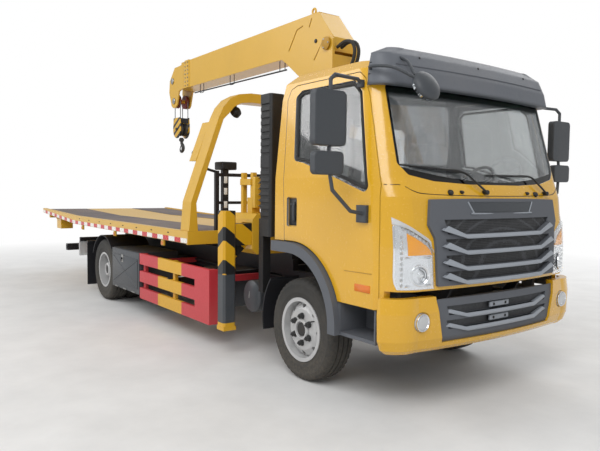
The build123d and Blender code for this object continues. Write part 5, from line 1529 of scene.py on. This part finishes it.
class TRUCK_OT_stage(Operator):
    """Make the floor, the lights and the camera"""
    bl_idname = "truck.stage"
    bl_label = "Stage"

    # place, size, power in watts, of lamps that all point at the truck
    LAMPS = [((9.0, -8.0, 9.0), 8.0, 720.0), ((-6.0, -10.0, 8.0), 9.0, 520.0),
             ((0.0, 9.0, 9.0), 9.0, 480.0)]
    AIM = Vector((0.5, 0.0, 1.2))
    # strength of the world's light on the truck, and as it is seen behind it
    WORLD_LIGHT, WORLD_SEEN = 0.58, 1.0
    FLOOR_RADIUS = 90
    # the camera's station, distance from the truck's middle and height, and its angles in degrees
    CAMERA = (3.970, -3.852, 1.557)
    SENSOR_WIDTH = 36
    YAW, PITCH, ROLL = 143.168, -3.679, 0.706
    SHIFT = (-0.0172, 0.0064)

    def floor(self):
        data = bpy.data.meshes.new("floor")
        form = bmesh.new()
        bmesh.ops.create_circle(form, cap_ends=True, radius=self.FLOOR_RADIUS, segments=96)
        form.to_mesh(data)
        form.free()
        data.materials.append(floor_finish("pale_floor"))
        floor = bpy.data.objects.new("floor", data)
        bpy.context.scene.collection.objects.link(floor)

    def lights(self):
        for index, (spot, size, power) in enumerate(self.LAMPS):
            data = bpy.data.lights.new(f"soft_box_{index}", "AREA")
            data.shape = "DISK"
            data.size = size
            data.energy = power
            lamp = bpy.data.objects.new(data.name, data)
            lamp.location = spot
            lamp.rotation_euler = (self.AIM - Vector(spot)).to_track_quat("-Z", "Y").to_euler()
            bpy.context.scene.collection.objects.link(lamp)
        world = bpy.data.worlds.new("studio")
        bpy.context.scene.world = world
        world.use_nodes = True
        wiring = Wiring(world.node_tree)
        seen = wiring.add("ShaderNodeLightPath").outputs
        rays = wiring.math("MAXIMUM", seen["Is Camera Ray"], seen["Is Transmission Ray"])
        strength = wiring.remap(rays, 0.0, 1.0, self.WORLD_LIGHT, self.WORLD_SEEN)
        backdrop = world.node_tree.nodes["Background"]
        backdrop.inputs["Color"].default_value = (1, 1, 1, 1)
        world.node_tree.links.new(strength, backdrop.inputs["Strength"])

    def camera(self):
        yaw, pitch, roll = (math.radians(angle) for angle in (self.YAW, self.PITCH, self.ROLL))
        ahead = Vector((math.cos(pitch) * math.cos(yaw), math.cos(pitch) * math.sin(yaw), math.sin(pitch)))
        right = ahead.cross(UPWARD).normalized()
        up = right.cross(ahead)
        right, up = right * math.cos(roll) + up * math.sin(roll), up * math.cos(roll) - right * math.sin(roll)
        data = bpy.data.cameras.new("camera")
        data.sensor_width = self.SENSOR_WIDTH
        data.lens = sizes().lens
        data.shift_x, data.shift_y = self.SHIFT
        camera = bpy.data.objects.new("camera", data)
        turn = Matrix((right, up, -ahead)).transposed().to_4x4()
        camera.matrix_world = Matrix.Translation(place(*self.CAMERA)) @ turn
        bpy.context.scene.collection.objects.link(camera)
        bpy.context.scene.camera = camera

    def execute(self, context):
        self.floor()
        self.lights()
        self.camera()
        context.scene.view_settings.view_transform = "Standard"
        return {"FINISHED"}


OPERATORS = (TRUCK_OT_node_finishes, TRUCK_OT_wheels, TRUCK_OT_front, TRUCK_OT_cab, TRUCK_OT_interior,
             TRUCK_OT_bed, TRUCK_OT_gantry, TRUCK_OT_crane, TRUCK_OT_chassis, TRUCK_OT_stage)


class TRUCK_PT_looks(Panel):
    """Lists the steps that dress the truck"""
    bl_idname = "TRUCK_PT_looks"
    bl_label = "Recovery Truck"
    bl_space_type = "VIEW_3D"
    bl_region_type = "UI"
    bl_category = "Truck"

    def draw(self, context):
        for group in (context.scene.truck_colours, context.scene.truck_sizes):
            for name in group.__annotations__:
                self.layout.prop(group, name)
        for operator in OPERATORS:
            self.layout.operator(operator.bl_idname)


CLASSES = (TruckColours, TruckSizes, *OPERATORS, TRUCK_PT_looks)


def register():
    for cls in CLASSES:
        bpy.utils.register_class(cls)
    bpy.types.Scene.truck_colours = PointerProperty(type=TruckColours)
    bpy.types.Scene.truck_sizes = PointerProperty(type=TruckSizes)


def unregister():
    del bpy.types.Scene.truck_sizes
    del bpy.types.Scene.truck_colours
    for cls in reversed(CLASSES):
        bpy.utils.unregister_class(cls)


def main():
    register()
    bpy.ops.truck.node_finishes()
    bpy.ops.truck.wheels()
    bpy.ops.truck.front()
    bpy.ops.truck.cab()
    bpy.ops.truck.interior()
    bpy.ops.truck.bed()
    bpy.ops.truck.gantry()
    bpy.ops.truck.crane()
    bpy.ops.truck.chassis()
    bpy.ops.truck.stage()


if __name__ == "__main__":
    main()
